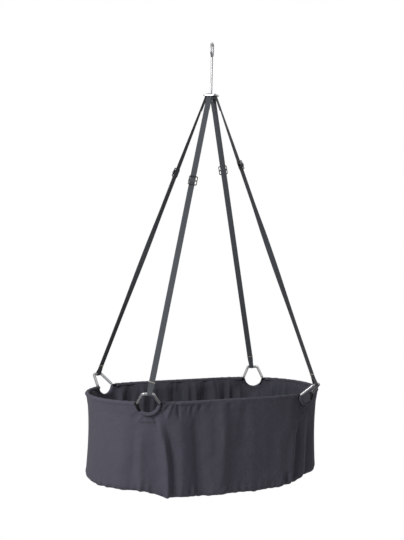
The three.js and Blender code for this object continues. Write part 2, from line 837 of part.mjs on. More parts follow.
// Ribbon of webbing through stations that each carry a width and its direction
function ribbon(stations, thickness) {
  const positions = [];
  stations.forEach((station, i) => {
    const before = stations[Math.max(i - 1, 0)].point;
    const after = stations[Math.min(i + 1, stations.length - 1)].point;
    const along = after.clone().sub(before).normalize();
    const face = along.cross(station.width).normalize().multiplyScalar(thickness / 2);
    const side = station.width.clone().multiplyScalar(station.span / 2);
    for (const [a, b] of [[-1, -1], [1, -1], [1, 1], [-1, 1]]) {
      const p = station.point.clone().addScaledVector(side, a).addScaledVector(face, b);
      positions.push(p.x, p.y, p.z);
    }
  });
  const index = [0, 2, 1, 0, 3, 2];
  for (let i = 0; i < stations.length - 1; i += 1) {
    for (let k = 0; k < 4; k += 1) {
      const a = 4 * i + k;
      const b = 4 * i + ((k + 1) % 4);
      index.push(a, b, b + 4, a, b + 4, a + 4);
    }
  }
  const end = 4 * (stations.length - 1);
  index.push(end, end + 1, end + 2, end, end + 2, end + 3);
  const geometry = new THREE.BufferGeometry();
  geometry.setAttribute('position', new THREE.Float32BufferAttribute(positions, 3));
  geometry.setIndex(index);
  return geometry;
}

// Slider, its windows and the hump of webbing over its middle bar
const sliderSize = 34;
const sliderBar = 4;
const sliderSideBar = 3;
const sliderThickness = 3;
const sliderRounding = 5;
const sliderShift = 2.5;
const sliderStand = layerStep + webThickness / 2 + fit;

const humpFlatShare = 0.62;
const humpFootShare = 0.3;
const humpReachShare = 0.36;

function humpOffset(distance) {
  const crest = sliderStand + sliderThickness + fit + webThickness / 2 + fit;
  const flat = sliderBar * humpFlatShare;
  const foot = sliderSize * humpFootShare;
  const share = Math.min(1, Math.max(0, (foot - Math.abs(distance)) / (foot - flat)));
  const smooth = share * share * (3 - 2 * share);
  return layerStep + (crest - layerStep) * smooth;
}

// One length of webbing: sewn loop on the plate, main run, loop round the bail, second layer up to the slider
const sewnTopShare = 0.35;
const sewnBendShare = 0.2;

function makeStrap(corner, strap) {
  const stations = [];
  const push = (point, width, span = webWidth) => {
    stations.push({ point, width: width.clone().normalize(), span });
  };
  const upper = strap.barAxis.clone();
  upper.addScaledVector(strap.along, -strap.along.dot(upper)).normalize();
  const plateOut = strap.azimuth;
  const bridge = plateOut.clone().multiplyScalar(bridgeRadius).setZ(plateZ);
  const wrap = bridgeWidth / 2 + fit + webThickness / 2;
  const bridgeTop = plateThickness / 2 + fit / 2;

  const upperOut = strap.along.clone().cross(upper);
  const onUpper = (distance, offset) => {
    const point = strap.top.clone().addScaledVector(strap.along, -distance);
    return point.addScaledVector(upperOut, offset);
  };
  push(onUpper(sewnLength, -2 * layerStep), upper);
  push(onUpper(sewnLength * sewnTopShare, -2 * layerStep), upper);
  const below = plateThickness / 2 + 2 * fit;
  push(bridge.clone().addScaledVector(plateOut, -wrap).setZ(plateZ - below), strap.barAxis);
  const wrapSteps = 6;
  for (let i = 0; i <= wrapSteps; i += 1) {
    const angle = Math.PI * (1 - i / wrapSteps);
    const point = bridge.clone().addScaledVector(plateOut, wrap * Math.cos(angle));
    point.z = plateZ + bridgeTop + wrap * Math.sin(angle);
    push(point, strap.barAxis);
  }
  push(strap.top.clone(), strap.barAxis);
  push(onUpper(sewnLength * sewnBendShare, 0), upper);
  push(onUpper(sewnLength * sewnTopShare, 0), upper);

  const sliderHeight = strap.length * (1 - corner.sliderShare);
  const twistSteps = 4;
  const twistFrom = strap.length - sewnLength;
  const twistTo = sliderHeight + sliderSize;
  for (let i = 0; i <= twistSteps; i += 1) {
    const share = i / twistSteps;
    const height = twistFrom + (twistTo - twistFrom) * share;
    push(onStrap(strap, height, -layerStep), upper.clone().lerp(strap.width, share));
  }
  push(onStrap(strap, corner.keeperHeight, -layerStep), strap.width);

  const radius = barRadius + fit + webThickness / 2;
  const loopUp = strap.along.clone();
  loopUp.addScaledVector(strap.bailAxis, -loopUp.dot(strap.bailAxis)).normalize();
  const loopOut = loopUp.clone().cross(strap.bailAxis);
  const loopSteps = 7;
  for (let i = 0; i <= loopSteps; i += 1) {
    const angle = Math.PI * (1 + i / loopSteps);
    const point = strap.apex.clone().addScaledVector(loopOut, radius * Math.cos(angle));
    push(point.addScaledVector(loopUp, radius * Math.sin(angle)), strap.bailAxis, gatheredWidth);
  }
  push(onStrap(strap, corner.keeperHeight, layerStep), strap.width);

  const humpSteps = 10;
  const humpReach = sliderSize * humpReachShare;
  for (let i = 0; i <= humpSteps; i += 1) {
    const distance = humpReach * ((2 * i) / humpSteps - 1);
    push(onStrap(strap, sliderHeight + distance, humpOffset(distance)), strap.width);
  }
  addPiece(`strap_${corner.name}`, ribbon(stations, webThickness), webbing);
}

function makeSlider(corner, strap) {
  const bevel = 0.5;
  const outline = roundedRectangle(
    sliderSize - 2 * bevel,
    sliderSize - 2 * bevel,
    sliderRounding - bevel,
    THREE.Shape,
  );
  const windowHeight = (sliderSize - 3 * sliderBar) / 2;
  const windowWidth = sliderSize - 2 * sliderSideBar;
  const across = windowWidth + 2 * bevel;
  const window = roundedRectangle(across, windowHeight + 2 * bevel, sliderBar / 2, THREE.Path);
  const rise = (windowHeight + sliderBar) / 2;
  outline.holes.push(shifted(window, 0, rise), shifted(window, 0, -rise));
  const depth = sliderThickness - 2 * bevel;
  const settings = { depth, bevelThickness: bevel, bevelSize: bevel, bevelSegments: 1, curveSegments: 3 };
  const geometry = new THREE.ExtrudeGeometry(outline, settings);
  geometry.translate(0, 0, bevel - sliderStand - sliderThickness);
  const mesh = addPiece(`slider_${corner.name}`, geometry, darkMetal);
  const basis = new THREE.Matrix4().makeBasis(strap.width, strap.along, strap.out.clone().negate());
  mesh.quaternion.setFromRotationMatrix(basis);
  mesh.position.copy(onStrap(strap, strap.length * (1 - corner.sliderShare), 0));
  mesh.position.addScaledVector(strap.width, -corner.sideX * Math.sign(strap.width.x) * sliderShift);
}

// Keeper: thin wire loop round both layers
const keeperWire = 1.6;

function makeKeeper(corner, strap) {
  const clearance = 1.6 * fit;
  const innerWidth = webWidth + 2 * clearance;
  const innerDepth = 2 * layerStep + webThickness + 2 * clearance;
  const width = innerWidth + 2 * keeperWire;
  const depth = innerDepth + 2 * keeperWire;
  const outline = roundedRectangle(width, depth, keeperWire * 1.2, THREE.Shape);
  outline.holes.push(shifted(roundedRectangle(innerWidth, innerDepth, fit, THREE.Path), 0, 0, 1));
  const bevel = keeperWire / 4;
  const edge = { bevelThickness: bevel, bevelSize: bevel, bevelOffset: -bevel, bevelSegments: 1 };
  const settings = { depth: keeperWire - 2 * bevel, ...edge, curveSegments: 1 };
  const geometry = new THREE.ExtrudeGeometry(outline, settings);
  geometry.translate(0, 0, bevel - keeperWire / 2);
  const mesh = addPiece(`keeper_${corner.name}`, geometry, steel);
  const basis = new THREE.Matrix4().makeBasis(strap.width, strap.out, strap.along);
  mesh.quaternion.setFromRotationMatrix(basis);
  const lift = sliderBar;
  mesh.position.copy(onStrap(strap, corner.keeperHeight + lift, 0));
}

makeHookRod();
makeSwivel();
makePlate();

const frames = corners.map((corner) => ringFrame(corner));
const bracketEnds = [];
corners.forEach((corner, i) => {
  const frame = frames[i];
  const strap = strapFrame(corner, frame);
  makeStrap(corner, strap);
  makeSlider(corner, strap);
  makeKeeper(corner, strap);
  makeBail(corner, frame);
  bracketEnds.push(makeBracket(corner, frame));
  makeSleeve(corner, frame);
});

const railNames = ['rail_right', 'rail_back', 'rail_left', 'rail_front'];
railNames.forEach((name, i) => {
  makeRail(name, bracketEnds[i][1], bracketEnds[(i + 1) % corners.length][0]);
});

makeCover(frames);
makeBoard();
makeLining(frames);
makeMattress();

export default cradle;
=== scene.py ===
"""Hanging baby cradle: cloth basket, webbing, corner fittings and hanger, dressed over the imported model."""
import math

import bmesh
import bpy
import numpy as np
from mathutils import Matrix, Vector


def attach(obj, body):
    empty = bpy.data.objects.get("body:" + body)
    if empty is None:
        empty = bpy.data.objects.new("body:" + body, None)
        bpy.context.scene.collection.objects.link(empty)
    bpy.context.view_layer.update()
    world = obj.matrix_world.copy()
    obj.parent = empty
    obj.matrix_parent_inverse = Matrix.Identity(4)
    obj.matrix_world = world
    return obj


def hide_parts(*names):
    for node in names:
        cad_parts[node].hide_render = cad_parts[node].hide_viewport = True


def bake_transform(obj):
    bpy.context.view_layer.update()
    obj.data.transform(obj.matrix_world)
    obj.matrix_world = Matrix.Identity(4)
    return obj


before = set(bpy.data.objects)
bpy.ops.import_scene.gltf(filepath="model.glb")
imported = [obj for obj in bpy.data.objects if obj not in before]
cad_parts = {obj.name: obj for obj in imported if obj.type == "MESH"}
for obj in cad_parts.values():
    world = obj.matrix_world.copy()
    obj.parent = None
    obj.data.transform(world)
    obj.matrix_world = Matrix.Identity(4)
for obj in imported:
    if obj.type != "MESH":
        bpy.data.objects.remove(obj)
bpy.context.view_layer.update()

bl_info = {
    "name": "Hanging cradle",
    "version": (1, 0, 0),
    "blender": (4, 5, 0),
    "location": "View3D > Sidebar > Cradle",
    "description": "Builds the cloth, webbing and metalwork of a hanging baby cradle",
    "category": "Object",
}

UP = np.array([0.0, 0.0, 1.0])
CLEAR = 0.0003  # gap between pieces that lie on each other
SUNK = -0.0085  # cloth stands in no further than this from its plain oval
RING_CENTRE = (0.305598, 0.198954, -1.23)
RING_ALONG = (0.904781, 0.425877)
ROLL_ROWS, WALL_ROWS, KNEE_ROWS = 17, 50, 9  # rows of the cover over the rail, down the wall, round the knee
BRIDGE, BRIDGE_HALF = 0.0161, 0.0016  # the plate's outer bridges: distance from its middle and half their width
PLATE_GAP = 0.0006  # the webbing under the plate
BAIL_SPAN = 0.0155  # width of the webbing where it is drawn together on a bail


def length(name, text, default):
    low = {"min": 0} if default > 0 else {}
    return bpy.props.FloatProperty(name=name, description=text, default=default, unit="LENGTH", **low)


def colour(name, text, default):
    return bpy.props.FloatVectorProperty(
        name=name, description=text, default=default, size=3, min=0, max=1, subtype="COLOR"
    )


class CradleBasketSizes(bpy.types.PropertyGroup):
    """Sizes of the cloth basket"""

    length: length("Length", "Outside length of the rim", 0.885)
    width: length("Width", "Outside width of the rim", 0.464)
    depth: length("Depth", "From the top of the rim to the bottom of the basket", 0.305)
    straight: length("Straight", "Straight stretch of each long side", 0.294)
    rim_height: length("Rim height", "Height of the top of the rim", -1.226)
    cloth: length("Cloth", "Thickness of the cover and lining", 0.0015)
    rail: length("Rail radius", "Radius of the rail inside the rim", 0.005)
    rim_inset: length("Rim inset", "From the outside of the rim to the middle of the rail", 0.0073)
    rounding: length("Bottom rounding", "Rounding between the wall and the bottom", 0.025)
    notch: length("Notch radius", "Radius of the cover's opening at each corner", 0.0455)
    lining_notch: length("Lining notch radius", "Radius of the lining's opening at each corner", 0.0385)
    mattress: length("Mattress thickness", "Thickness of the mattress at its edge", 0.042)


class CradleFittingSizes(bpy.types.PropertyGroup):
    """Sizes of the metalwork and the webbing"""

    bar: length("Bar radius", "Radius of the bail and bracket bars", 0.005)
    ring: length("Ring radius", "Radius of the bar's lower arc", 0.037)
    bail_reach: length("Bail reach", "Length of a bail from its feet", 0.056)
    bail_top: length("Bail top", "Width of a bail's top", 0.024)
    bail_corner: length("Bail corner", "Bending radius of a bail's corners", 0.008)
    bail_tilt: bpy.props.FloatProperty(
        name="Bail tilt", description="Lean of the bails from upright", default=math.radians(47.7), subtype="ANGLE"
    )
    web_width: length("Webbing width", "Width of the webbing", 0.020)
    web_thickness: length("Webbing thickness", "Thickness of the webbing", 0.0015)
    sewn: length("Sewn length", "Length of the sewn loop under the plate", 0.055)
    slider: length("Slider height", "Height of a slider's frame", 0.034)
    slider_width: length("Slider width", "Width of a slider's frame", 0.0315)
    slider_travel: length("Slider travel", "How far a slider moves down the webbing", 0.090)
    wire: length("Keeper wire", "Thickness of the keeper's wire", 0.0016)
    keeper_travel: length("Keeper travel", "How far a keeper moves up the webbing", 0.130)
    rod: length("Hook rod radius", "Radius of the hook rod", 0.004)
    plate_thickness: length("Plate thickness", "Thickness of the hanger plate", 0.0045)
    plate_height: length("Plate height", "Height of the middle of the plate", -0.179)


class CradleColours(bpy.types.PropertyGroup):
    """Colours of the cradle"""

    cover: colour("Cover", "Colour of the outer cloth", (0.094, 0.092, 0.121))
    lining: colour("Lining", "Colour of the inner cloth", (0.075, 0.074, 0.096))
    webbing: colour("Webbing", "Colour of the webbing", (0.068, 0.0745, 0.0865))
    steel: colour("Steel", "Colour of the polished steel", (0.30, 0.304, 0.312))
    gunmetal: colour("Gunmetal", "Colour of the sliders", (0.045, 0.043, 0.041))
    black: colour("Black coating", "Colour of the bracket bars", (0.003, 0.003, 0.0033))
    wood: colour("Plywood", "Colour of the base board", (0.42, 0.26, 0.13))
    ticking: colour("Ticking", "Colour of the mattress", (0.78, 0.76, 0.71))


# Numbers and directions
def unit(vector):
    vector = np.asarray(vector, float)
    return vector / np.linalg.norm(vector)


def square_to(axis, vector):
    """The direction square to an axis that lies nearest to another."""
    return unit(vector - axis * (axis @ vector))


def run_along(places):
    """Distance of each place from the first, along their line."""
    return np.concatenate([[0], np.cumsum(np.linalg.norm(np.diff(places, axis=0), axis=1))])


def at_marks(marks, run, rows):
    """What each column of the rows is at these marks of their run."""
    return np.stack([np.interp(marks, run, column) for column in np.transpose(rows)], -1)


def ramp(value, low, high):
    t = np.clip((value - low) / (high - low), 0, 1)
    return t * t * (3 - 2 * t)


def ridge(share, centre, left, right, power=1.6):
    distance = np.mod(share - centre + 0.5, 1) - 0.5
    return np.exp(-np.abs(distance / np.where(distance < 0, left, right)) ** power)


def bump(share, centre, spread):
    return ridge(share, centre, spread, spread, 2)


def wander(share, depth, counts, seed, lean=2.0):
    """Soft irregular waves that close round the rim."""
    source = np.random.default_rng(seed)
    total = np.zeros(np.broadcast(share, depth).shape)
    for count in counts:
        phase, slope = source.uniform(0, 2 * np.pi), source.normal(0, lean)
        total = total + source.uniform(0.5, 1.0) * np.sin(2 * np.pi * count * share + phase + slope * depth)
    return total / math.sqrt(len(counts))


class Corner:
    """Ring at one corner of the rim, and how its strap is set."""

    def __init__(self, code, side, share, slider, keeper, twist, shift):
        x, y = side
        self.code, self.share = code, share
        self.slider, self.keeper = slider, keeper
        self.twist, self.shift = twist, shift
        self.centre = np.array([x, y, 1]) * RING_CENTRE
        self.along = unit((-y * RING_ALONG[0], x * RING_ALONG[1], 0))
        self.normal = np.array([self.along[1], -self.along[0], 0])

    def measure(self, points):
        """How far points lie from the ring's centre along the rim, up, and outwards."""
        away = points - self.centre
        return away @ self.along, away[..., 2], away @ self.normal

    def rise(self, sizes):
        return self.normal * math.sin(sizes.bail_tilt) + UP * math.cos(sizes.bail_tilt)

    def arc(self, sizes, first, steps):
        """The lower half of the ring, from one side to the other."""
        angles = np.radians(np.linspace(180 + first, 360 - first, steps))
        return [self.centre + (self.along * math.cos(a) + UP * math.sin(a)) * sizes.ring for a in angles]


# Code, side in X and Y, share of the rim, slider's place from the top, keeper's height over the bail, twist of the
# webbing between them, shift of the slider towards the middle
CORNERS = {
    "front_right": Corner("fr", (1, -1), 0.887, 0.24, 0.034, -0.6, 0.0020),
    "back_right": Corner("br", (1, 1), 0.113, 0.255, 0.040, 0.05, -0.0010),
    "back_left": Corner("bl", (-1, 1), 0.387, 0.27, 0.029, -0.35, 0.0020),
    "front_left": Corner("fl", (-1, -1), 0.613, 0.30, 0.035, -0.05, 0.0020),
}


class Rim:
    """Oval of the rim by shares of its own length, counted from the right-hand end with the back first."""

    def __init__(self, sizes):
        angle = np.linspace(0, 2 * np.pi, 2881)
        power = 2 / 2.1
        cosine, sine = np.cos(angle), np.sin(angle)
        reach = (sizes.length - sizes.straight) / 2 * np.abs(cosine) ** power
        x = np.sign(cosine) * (sizes.straight / 2 + reach)
        y = np.sign(sine) * sizes.width / 2 * np.abs(sine) ** power
        self.sizes, self.outline = sizes, np.column_stack([x, y])
        run = run_along(self.outline)
        self.length, self.shares = run[-1], run / run[-1]
        self.rail_height = sizes.rim_height - sizes.rim_inset + CLEAR

    def point(self, share):
        return at_marks(np.mod(share, 1), self.shares, self.outline)

    def normal(self, share):
        along = self.point(share + 1 / 400) - self.point(share - 1 / 400)
        along /= np.linalg.norm(along, axis=-1, keepdims=True)
        return np.stack([along[..., 1], -along[..., 0]], -1)

    def inside(self, share, inset):
        """Places in from the rim's outline."""
        return self.point(share) - self.normal(share) * np.asarray(inset)[..., None]

    def rail(self, share):
        """Places on the middle line of the rails."""
        flat = self.inside(share, self.sizes.rim_inset)
        return np.concatenate([flat, np.full((*np.shape(share), 1), self.rail_height)], -1)

    def end_draw(self, share, depth):
        """How far the round ends are drawn in under the rim."""
        end = np.maximum(0, np.abs(self.point(share)[..., 0]) / self.outline[:, 0].max() - 0.6)
        return 0.026 * end * np.sin(np.pi * np.minimum(1, 0.95 * depth ** 0.85))


# Objects, selection and meshes
def clear_selection():
    active = bpy.context.view_layer.objects.active
    if active and active.mode != "OBJECT":
        bpy.ops.object.mode_set(mode="OBJECT")
    bpy.ops.object.select_all(action="DESELECT")


def select_only(piece):
    clear_selection()
    piece.select_set(True)
    bpy.context.view_layer.objects.active = piece


def apply_modifiers(piece):
    select_only(piece)
    for modifier in list(piece.modifiers):
        bpy.ops.object.modifier_apply(modifier=modifier.name)


def settle(piece, place=None):
    """Puts a piece in its place and gives its mesh the place."""
    if place is not None:
        piece.matrix_world = place
    select_only(piece)
    bpy.ops.object.transform_apply(location=True, rotation=True, scale=True)


def smooth(piece, angle=None):
    select_only(piece)
    if angle is None:
        bpy.ops.object.shade_smooth()
    else:
        bpy.ops.object.shade_smooth_by_angle(angle=math.radians(angle))


def repair(piece, merge=None, flatten=False, outward=True):
    """Merges doubled points, joins flat triangles and turns the faces outwards."""
    select_only(piece)
    bpy.ops.object.mode_set(mode="EDIT")
    bpy.ops.mesh.select_all(action="SELECT")
    if merge:
        bpy.ops.mesh.remove_doubles(threshold=merge)
    if flatten:
        bpy.ops.mesh.dissolve_limited(angle_limit=math.radians(1))
    if outward:
        bpy.ops.mesh.normals_make_consistent(inside=False)
    bpy.ops.object.mode_set(mode="OBJECT")


def thicken(piece, thickness):
    modifier = piece.modifiers.new("Cloth thickness", "SOLIDIFY")
    modifier.thickness, modifier.offset, modifier.use_even_offset = thickness, -1.0, True
    apply_modifiers(piece)


def break_edges(piece, width, segments, angle):
    modifier = piece.modifiers.new("Broken edges", "BEVEL")
    modifier.width, modifier.segments, modifier.limit_method = width, segments, "ANGLE"
    modifier.angle_limit = math.radians(angle)
    apply_modifiers(piece)


def finished(piece, finish, body=None, node=None):
    """Gives a piece its material and slot, hides the solid that it stands for and hangs it on the body that it rides.
    """
    piece.data.materials.clear()
    piece.data.materials.append(bpy.data.materials[finish])
    if node:
        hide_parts(node)
    if body:
        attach(piece, body)


def piece_from(name, points, faces, uvs=None):
    """A smooth mesh from points and faces, with texture places in metres."""
    mesh = bpy.data.meshes.new(name)
    mesh.from_pydata([tuple(p) for p in points], [], [tuple(f) for f in faces])
    if uvs is not None:
        layer = mesh.uv_layers.new(name="Cloth")
        corners = np.empty(len(mesh.loops), dtype=np.int64)
        mesh.loops.foreach_get("vertex_index", corners)
        layer.data.foreach_set("uv", np.asarray(uvs, np.float32)[corners].ravel())
    mesh.polygons.foreach_set("use_smooth", np.ones(len(mesh.polygons), bool))
    mesh.update()
    piece = bpy.data.objects.new(name, mesh)
    bpy.context.scene.collection.objects.link(piece)
    return piece


def grid_faces(rows, columns, wrap):
    faces = []
    for row in range(0, (rows - 1) * columns, columns):
        for column in range(columns if wrap else columns - 1):
            a, b = row + column, row + (column + 1) % columns
            faces.append((a, b, b + columns, a + columns))
    return faces


def fan_faces(first, columns, end):
    return [(first + k, first + (k + 1) % columns, end) for k in range(columns)]


def swept(name, rows, uvs, capped=True):
    """A closed section carried along its rows."""
    count, section = len(rows), len(rows[0])
    faces = grid_faces(count, section, True)
    if capped:
        faces.append(tuple(range(section - 1, -1, -1)))
        faces.append(tuple((count - 1) * section + k for k in range(section)))
    piece = piece_from(name, np.reshape(rows, (-1, 3)), faces, uvs)
    repair(piece)
    return piece


def bent_bar(name, points, radius, closed=False, sides=5):
    """A round bar bent along these points."""
    clear_selection()
    bpy.ops.object.add(type="CURVE")
    piece = bpy.context.object
    piece.name = name
    curve = piece.data
    curve.dimensions, curve.bevel_depth, curve.bevel_resolution = "3D", radius, sides
    curve.use_fill_caps = not closed
    spline = curve.splines.new("POLY")
    spline.points.add(len(points) - 1)
    for target, point in zip(spline.points, points):
        target.co = (*point, 1)
    spline.use_cyclic_u = closed
    bpy.ops.object.convert(target="MESH")
    piece = bpy.context.object
    repair(piece, 1e-6)
    smooth(piece, 50)
    return piece


def rounded(points, radius, steps):
    """A line through these points with its corners rounded."""
    points = [np.asarray(p, float) for p in points]
    line = [points[0]]
    for before, corner, after in zip(points, points[1:], points[2:]):
        back, forth = unit(before - corner), unit(after - corner)
        turn = math.pi - math.acos(np.clip(back @ forth, -1, 1))
        reach = radius * math.tan(turn / 2)
        centre = corner + unit(back + forth) * radius / math.cos(turn / 2)
        start, end = corner + back * reach - centre, corner + forth * reach - centre
        for share in np.linspace(0, 1, steps + 1):
            a, b = math.sin((1 - share) * turn), math.sin(share * turn)
            line.append(centre + (start * a + end * b) / math.sin(turn))
    line.append(points[-1])
    return line


def resampled(points, spacing):
    """The same line at even steps."""
    run = run_along(points)
    return at_marks(np.linspace(0, run[-1], max(2, int(round(run[-1] / spacing)) + 1)), run, points)


def stitches(name, lines, pitch=0.004, share=0.62, radius=0.00045):
    """Thread lying on the cloth: one small capsule for each stitch along lines of places."""
    points, faces = [], []
    sides = 6
    girths = [(0.12, 0.8), (0.5, 1.0), (0.88, 0.8)]
    for line in lines:
        line = resampled(line, pitch)
        for a, b in zip(line[:-1], line[1:]):
            along = b - a
            side = unit(np.cross(along, (0.13, 0.21, 0.97)))
            up = unit(np.cross(side, along))
            first = len(points)
            points.append(a)
            for place, girth in girths:
                centre = a + along * (place * share)
                for angle in np.arange(sides) * 2 * math.pi / sides:
                    points.append(centre + (side * math.cos(angle) + up * math.sin(angle)) * radius * girth)
            points.append(a + along * share)
            end = len(points) - 1
            faces += [face[::-1] for face in fan_faces(first + 1, sides, first)]
            faces += [tuple(first + 1 + k for k in face) for face in grid_faces(len(girths), sides, True)]
            faces += fan_faces(end - sides, sides, end)
    return piece_from(name, points, faces)


# Materials
class Nodes:
    """Short ways to add nodes to a tree."""

    def __init__(self, tree):
        self.tree = tree

    def feed(self, socket, value):
        if isinstance(value, bpy.types.NodeSocket):
            self.tree.links.new(value, socket)
        else:
            socket.default_value = value

    def add(self, kind, inputs=None, **settings):
        node = self.tree.nodes.new(kind)
        for key, value in settings.items():
            setattr(node, key, value)
        for socket, value in (inputs or {}).items():
            self.feed(node.inputs[socket], value)
        return node

    def math(self, operation, *values):
        return self.add("ShaderNodeMath", dict(enumerate(values)), operation=operation).outputs[0]

    def mix_shaders(self, share, first, second):
        return self.add("ShaderNodeMixShader", {0: share, 1: first, 2: second}).outputs[0]


class Finish(Nodes):
    """A material with short ways to add its nodes."""

    def __init__(self, name, **surface):
        self.material = bpy.data.materials.new(name)
        self.material.use_nodes = True
        super().__init__(self.material.node_tree)
        self.shader = self.tree.nodes["Principled BSDF"]
        self.use(**surface)

    def use(self, **sockets):
        for socket, value in sockets.items():
            self.feed(self.shader.inputs[socket.replace("_", " ")], value)

    def place(self, kind="Object", scale=(1, 1, 1)):
        source = self.add("ShaderNodeTexCoord").outputs[kind]
        return self.add("ShaderNodeMapping", {"Vector": source, "Scale": scale}).outputs[0]

    def axes(self):
        """The two axes of the piece's own texture map."""
        uv = self.add("ShaderNodeTexCoord").outputs["UV"]
        return self.add("ShaderNodeSeparateXYZ", {"Vector": uv}).outputs

    def wave(self, value, pitch):
        return self.math("SINE", self.math("MULTIPLY", value, 2 * math.pi / pitch))

    def noise(self, vector, scale, detail=3.0, roughness=0.55):
        inputs = {"Vector": vector, "Scale": scale, "Detail": detail, "Roughness": roughness}
        return self.add("ShaderNodeTexNoise", inputs).outputs["Fac"]

    def spread(self, value, low, high, start=0.0, end=1.0, **settings):
        inputs = {"Value": value, "From Min": start, "From Max": end, "To Min": low, "To Max": high}
        return self.add("ShaderNodeMapRange", inputs, **settings).outputs[0]

    def mix(self, share, first, second, **settings):
        inputs = {"Factor": share, "A": first, "B": second}
        return self.add("ShaderNodeMix", inputs, data_type="RGBA", **settings).outputs["Result"]

    def shade(self, colour, amount, value):
        """The colour, darker and lighter by an amount as the value goes from 0 to 1."""
        return self.mix(value, *([min(1, c * part) for c in colour] + [1] for part in (1 - amount, 1 + amount)))

    def multiply(self, first, second):
        return self.mix(1.0, first, second, blend_type="MULTIPLY")

    def relief(self, height, distance, strength=1.0, **below):
        inputs = {"Height": height, "Distance": distance, "Strength": strength, **below}
        return self.add("ShaderNodeBump", inputs).outputs[0]


def woven_cloth(name, colour, pitch=0.0011):
    """Plain-woven cotton: two crossing yarns, slubs, soft unevenness and a little fuzz."""
    finish = Finish(name, Roughness=0.9, Sheen_Weight=0.06, Sheen_Roughness=0.4, Specular_IOR_Level=0.2)
    axes = finish.axes()
    crossing = finish.math("MULTIPLY", finish.wave(axes["X"], pitch), finish.wave(axes["Y"], pitch))
    weave = finish.math("MULTIPLY_ADD", crossing, 0.5, 0.5)
    along = finish.noise(finish.place("UV", (25, 900, 1)), 1.0, 2.0)
    across = finish.noise(finish.place("UV", (900, 25, 1)), 1.0, 2.0)
    slub = finish.math("MULTIPLY_ADD", finish.math("ADD", along, across), 0.5, 0.0)
    cloud = finish.noise(finish.place(), 9.0, 3.0)
    mottle = finish.noise(finish.place("UV"), 170.0, 3.0, 0.7)
    crumple = finish.relief(finish.noise(finish.place(), 15.0, 3.0, 0.45), 0.008)
    patches = finish.math("MULTIPLY_ADD", mottle, 0.6, finish.math("MULTIPLY", cloud, 0.4))
    yarn = finish.shade((0.92, 0.92, 0.92), 0.14, slub)
    cross = finish.shade((0.96, 0.96, 0.96), 0.05, weave)
    height = finish.math("MULTIPLY_ADD", slub, 0.8, weave)
    finish.use(
        Base_Color=finish.multiply(finish.multiply(finish.shade(colour, 0.24, patches), yarn), cross),
        Normal=finish.relief(height, 0.00022, Normal=crumple),
    )


def ribbed_webbing(name, colour):
    """Woven tape with a chevron rib and firm edges. Its texture map runs in metres, across and along."""
    finish = Finish(name, Roughness=0.72, Sheen_Weight=0.15, Sheen_Roughness=0.4, Specular_IOR_Level=0.35)
    axes = finish.axes()
    side = finish.math("ABSOLUTE", axes["X"])
    slant = finish.math("ADD", axes["Y"], finish.math("PINGPONG", side, 0.0035))
    rib = finish.math("MULTIPLY_ADD", finish.wave(slant, 0.0017), 0.5, 0.5)
    height = finish.math("MULTIPLY_ADD", finish.wave(axes["X"], 0.0012), 0.2, rib)
    fibre = finish.noise(finish.place("UV", (1500, 60, 1)), 1.0, 2.0)
    edge = finish.math("LESS_THAN", finish.math("ABSOLUTE", finish.math("SUBTRACT", side, 0.0088)), 0.0005)
    finish.use(
        Base_Color=finish.multiply(finish.shade(colour, 0.12, fibre), finish.shade((0.9, 0.9, 0.9), 0.06, rib)),
        Normal=finish.relief(finish.math("SUBTRACT", height, edge), 0.00007),
    )


def polished_steel(name, colour, roughness=0.33):
    """Stainless bar, polished, with faint drawing lines and handling marks."""
    finish = Finish(name, Metallic=1.0)
    fine = finish.noise(finish.place(), 900.0, 2.0)
    marks = finish.noise(finish.place(), 60.0, 4.0, 0.7)
    finish.use(
        Base_Color=finish.shade(colour, 0.06, marks),
        Roughness=finish.spread(marks, roughness * 0.9, roughness * 1.2),
        Normal=finish.relief(fine, 0.000002, 0.2),
    )


def cast_gunmetal(name, colour):
    """Plated die-cast metal, dark, with lighter brassy patches at random painted in as warm highlights."""
    finish = Finish(name, Metallic=1.0)
    grain = finish.noise(finish.place(), 700.0, 3.0)
    glint_patches = finish.noise(finish.place(), 120.0, 4.0, 0.65)
    brassy_highlight = [c * part for c, part in zip(colour, (2.8, 2.3, 1.8))]
    finish.use(
        # Painted highlight: lighter brassy patches at random stand in for the warm glints on the frames.
        Base_Color=finish.mix(finish.spread(glint_patches, 0.0, 1.0, 0.52, 0.75), [*colour, 1], [*brassy_highlight, 1]),
        Roughness=finish.spread(glint_patches, 0.26, 0.42),
        Normal=finish.relief(grain, 0.00002, 0.6),
    )


def black_coating(name, colour):
    """Powder coating: black with a fine orange-peel skin."""
    finish = Finish(name, Specular_IOR_Level=0.12)
    peel = finish.noise(finish.place(), 450.0, 2.0)
    dust = finish.noise(finish.place(), 25.0, 3.0)
    finish.use(
        Base_Color=finish.shade(colour, 0.35, dust),
        Roughness=finish.spread(dust, 0.42, 0.6),
        Normal=finish.relief(peel, 0.00006, 0.6),
    )


def plywood(name, colour):
    """Plywood board: long grain with pores."""
    finish = Finish(name, Roughness=0.7)
    grain = finish.noise(finish.place("Object", (1.0, 9.0, 9.0)), 7.0, 6.0, 0.6)
    pores = finish.noise(finish.place("Object", (30, 600, 600)), 1.0, 2.0)
    value = finish.math("MULTIPLY_ADD", grain, 0.7, finish.math("MULTIPLY", pores, 0.3))
    finish.use(Base_Color=finish.shade(colour, 0.35, value), Normal=finish.relief(pores, 0.0001, 0.5))


def moulded_nylon(name, colour):
    """Moulded plastic with a fine matt skin."""
    finish = Finish(name, Specular_IOR_Level=0.4)
    skin = finish.noise(finish.place(), 1200.0, 2.0)
    finish.use(
        Base_Color=finish.shade(colour, 0.2, skin),
        Roughness=finish.spread(skin, 0.45, 0.62),
        Normal=finish.relief(skin, 0.00003, 0.5),
    )


def thread(name, colour):
    """Twisted sewing thread."""
    finish = Finish(name, Roughness=0.6, Sheen_Weight=0.2)
    twist = finish.noise(finish.place(), 2500.0, 2.0)
    finish.use(Base_Color=finish.shade(colour, 0.25, twist), Normal=finish.relief(twist, 0.00005))


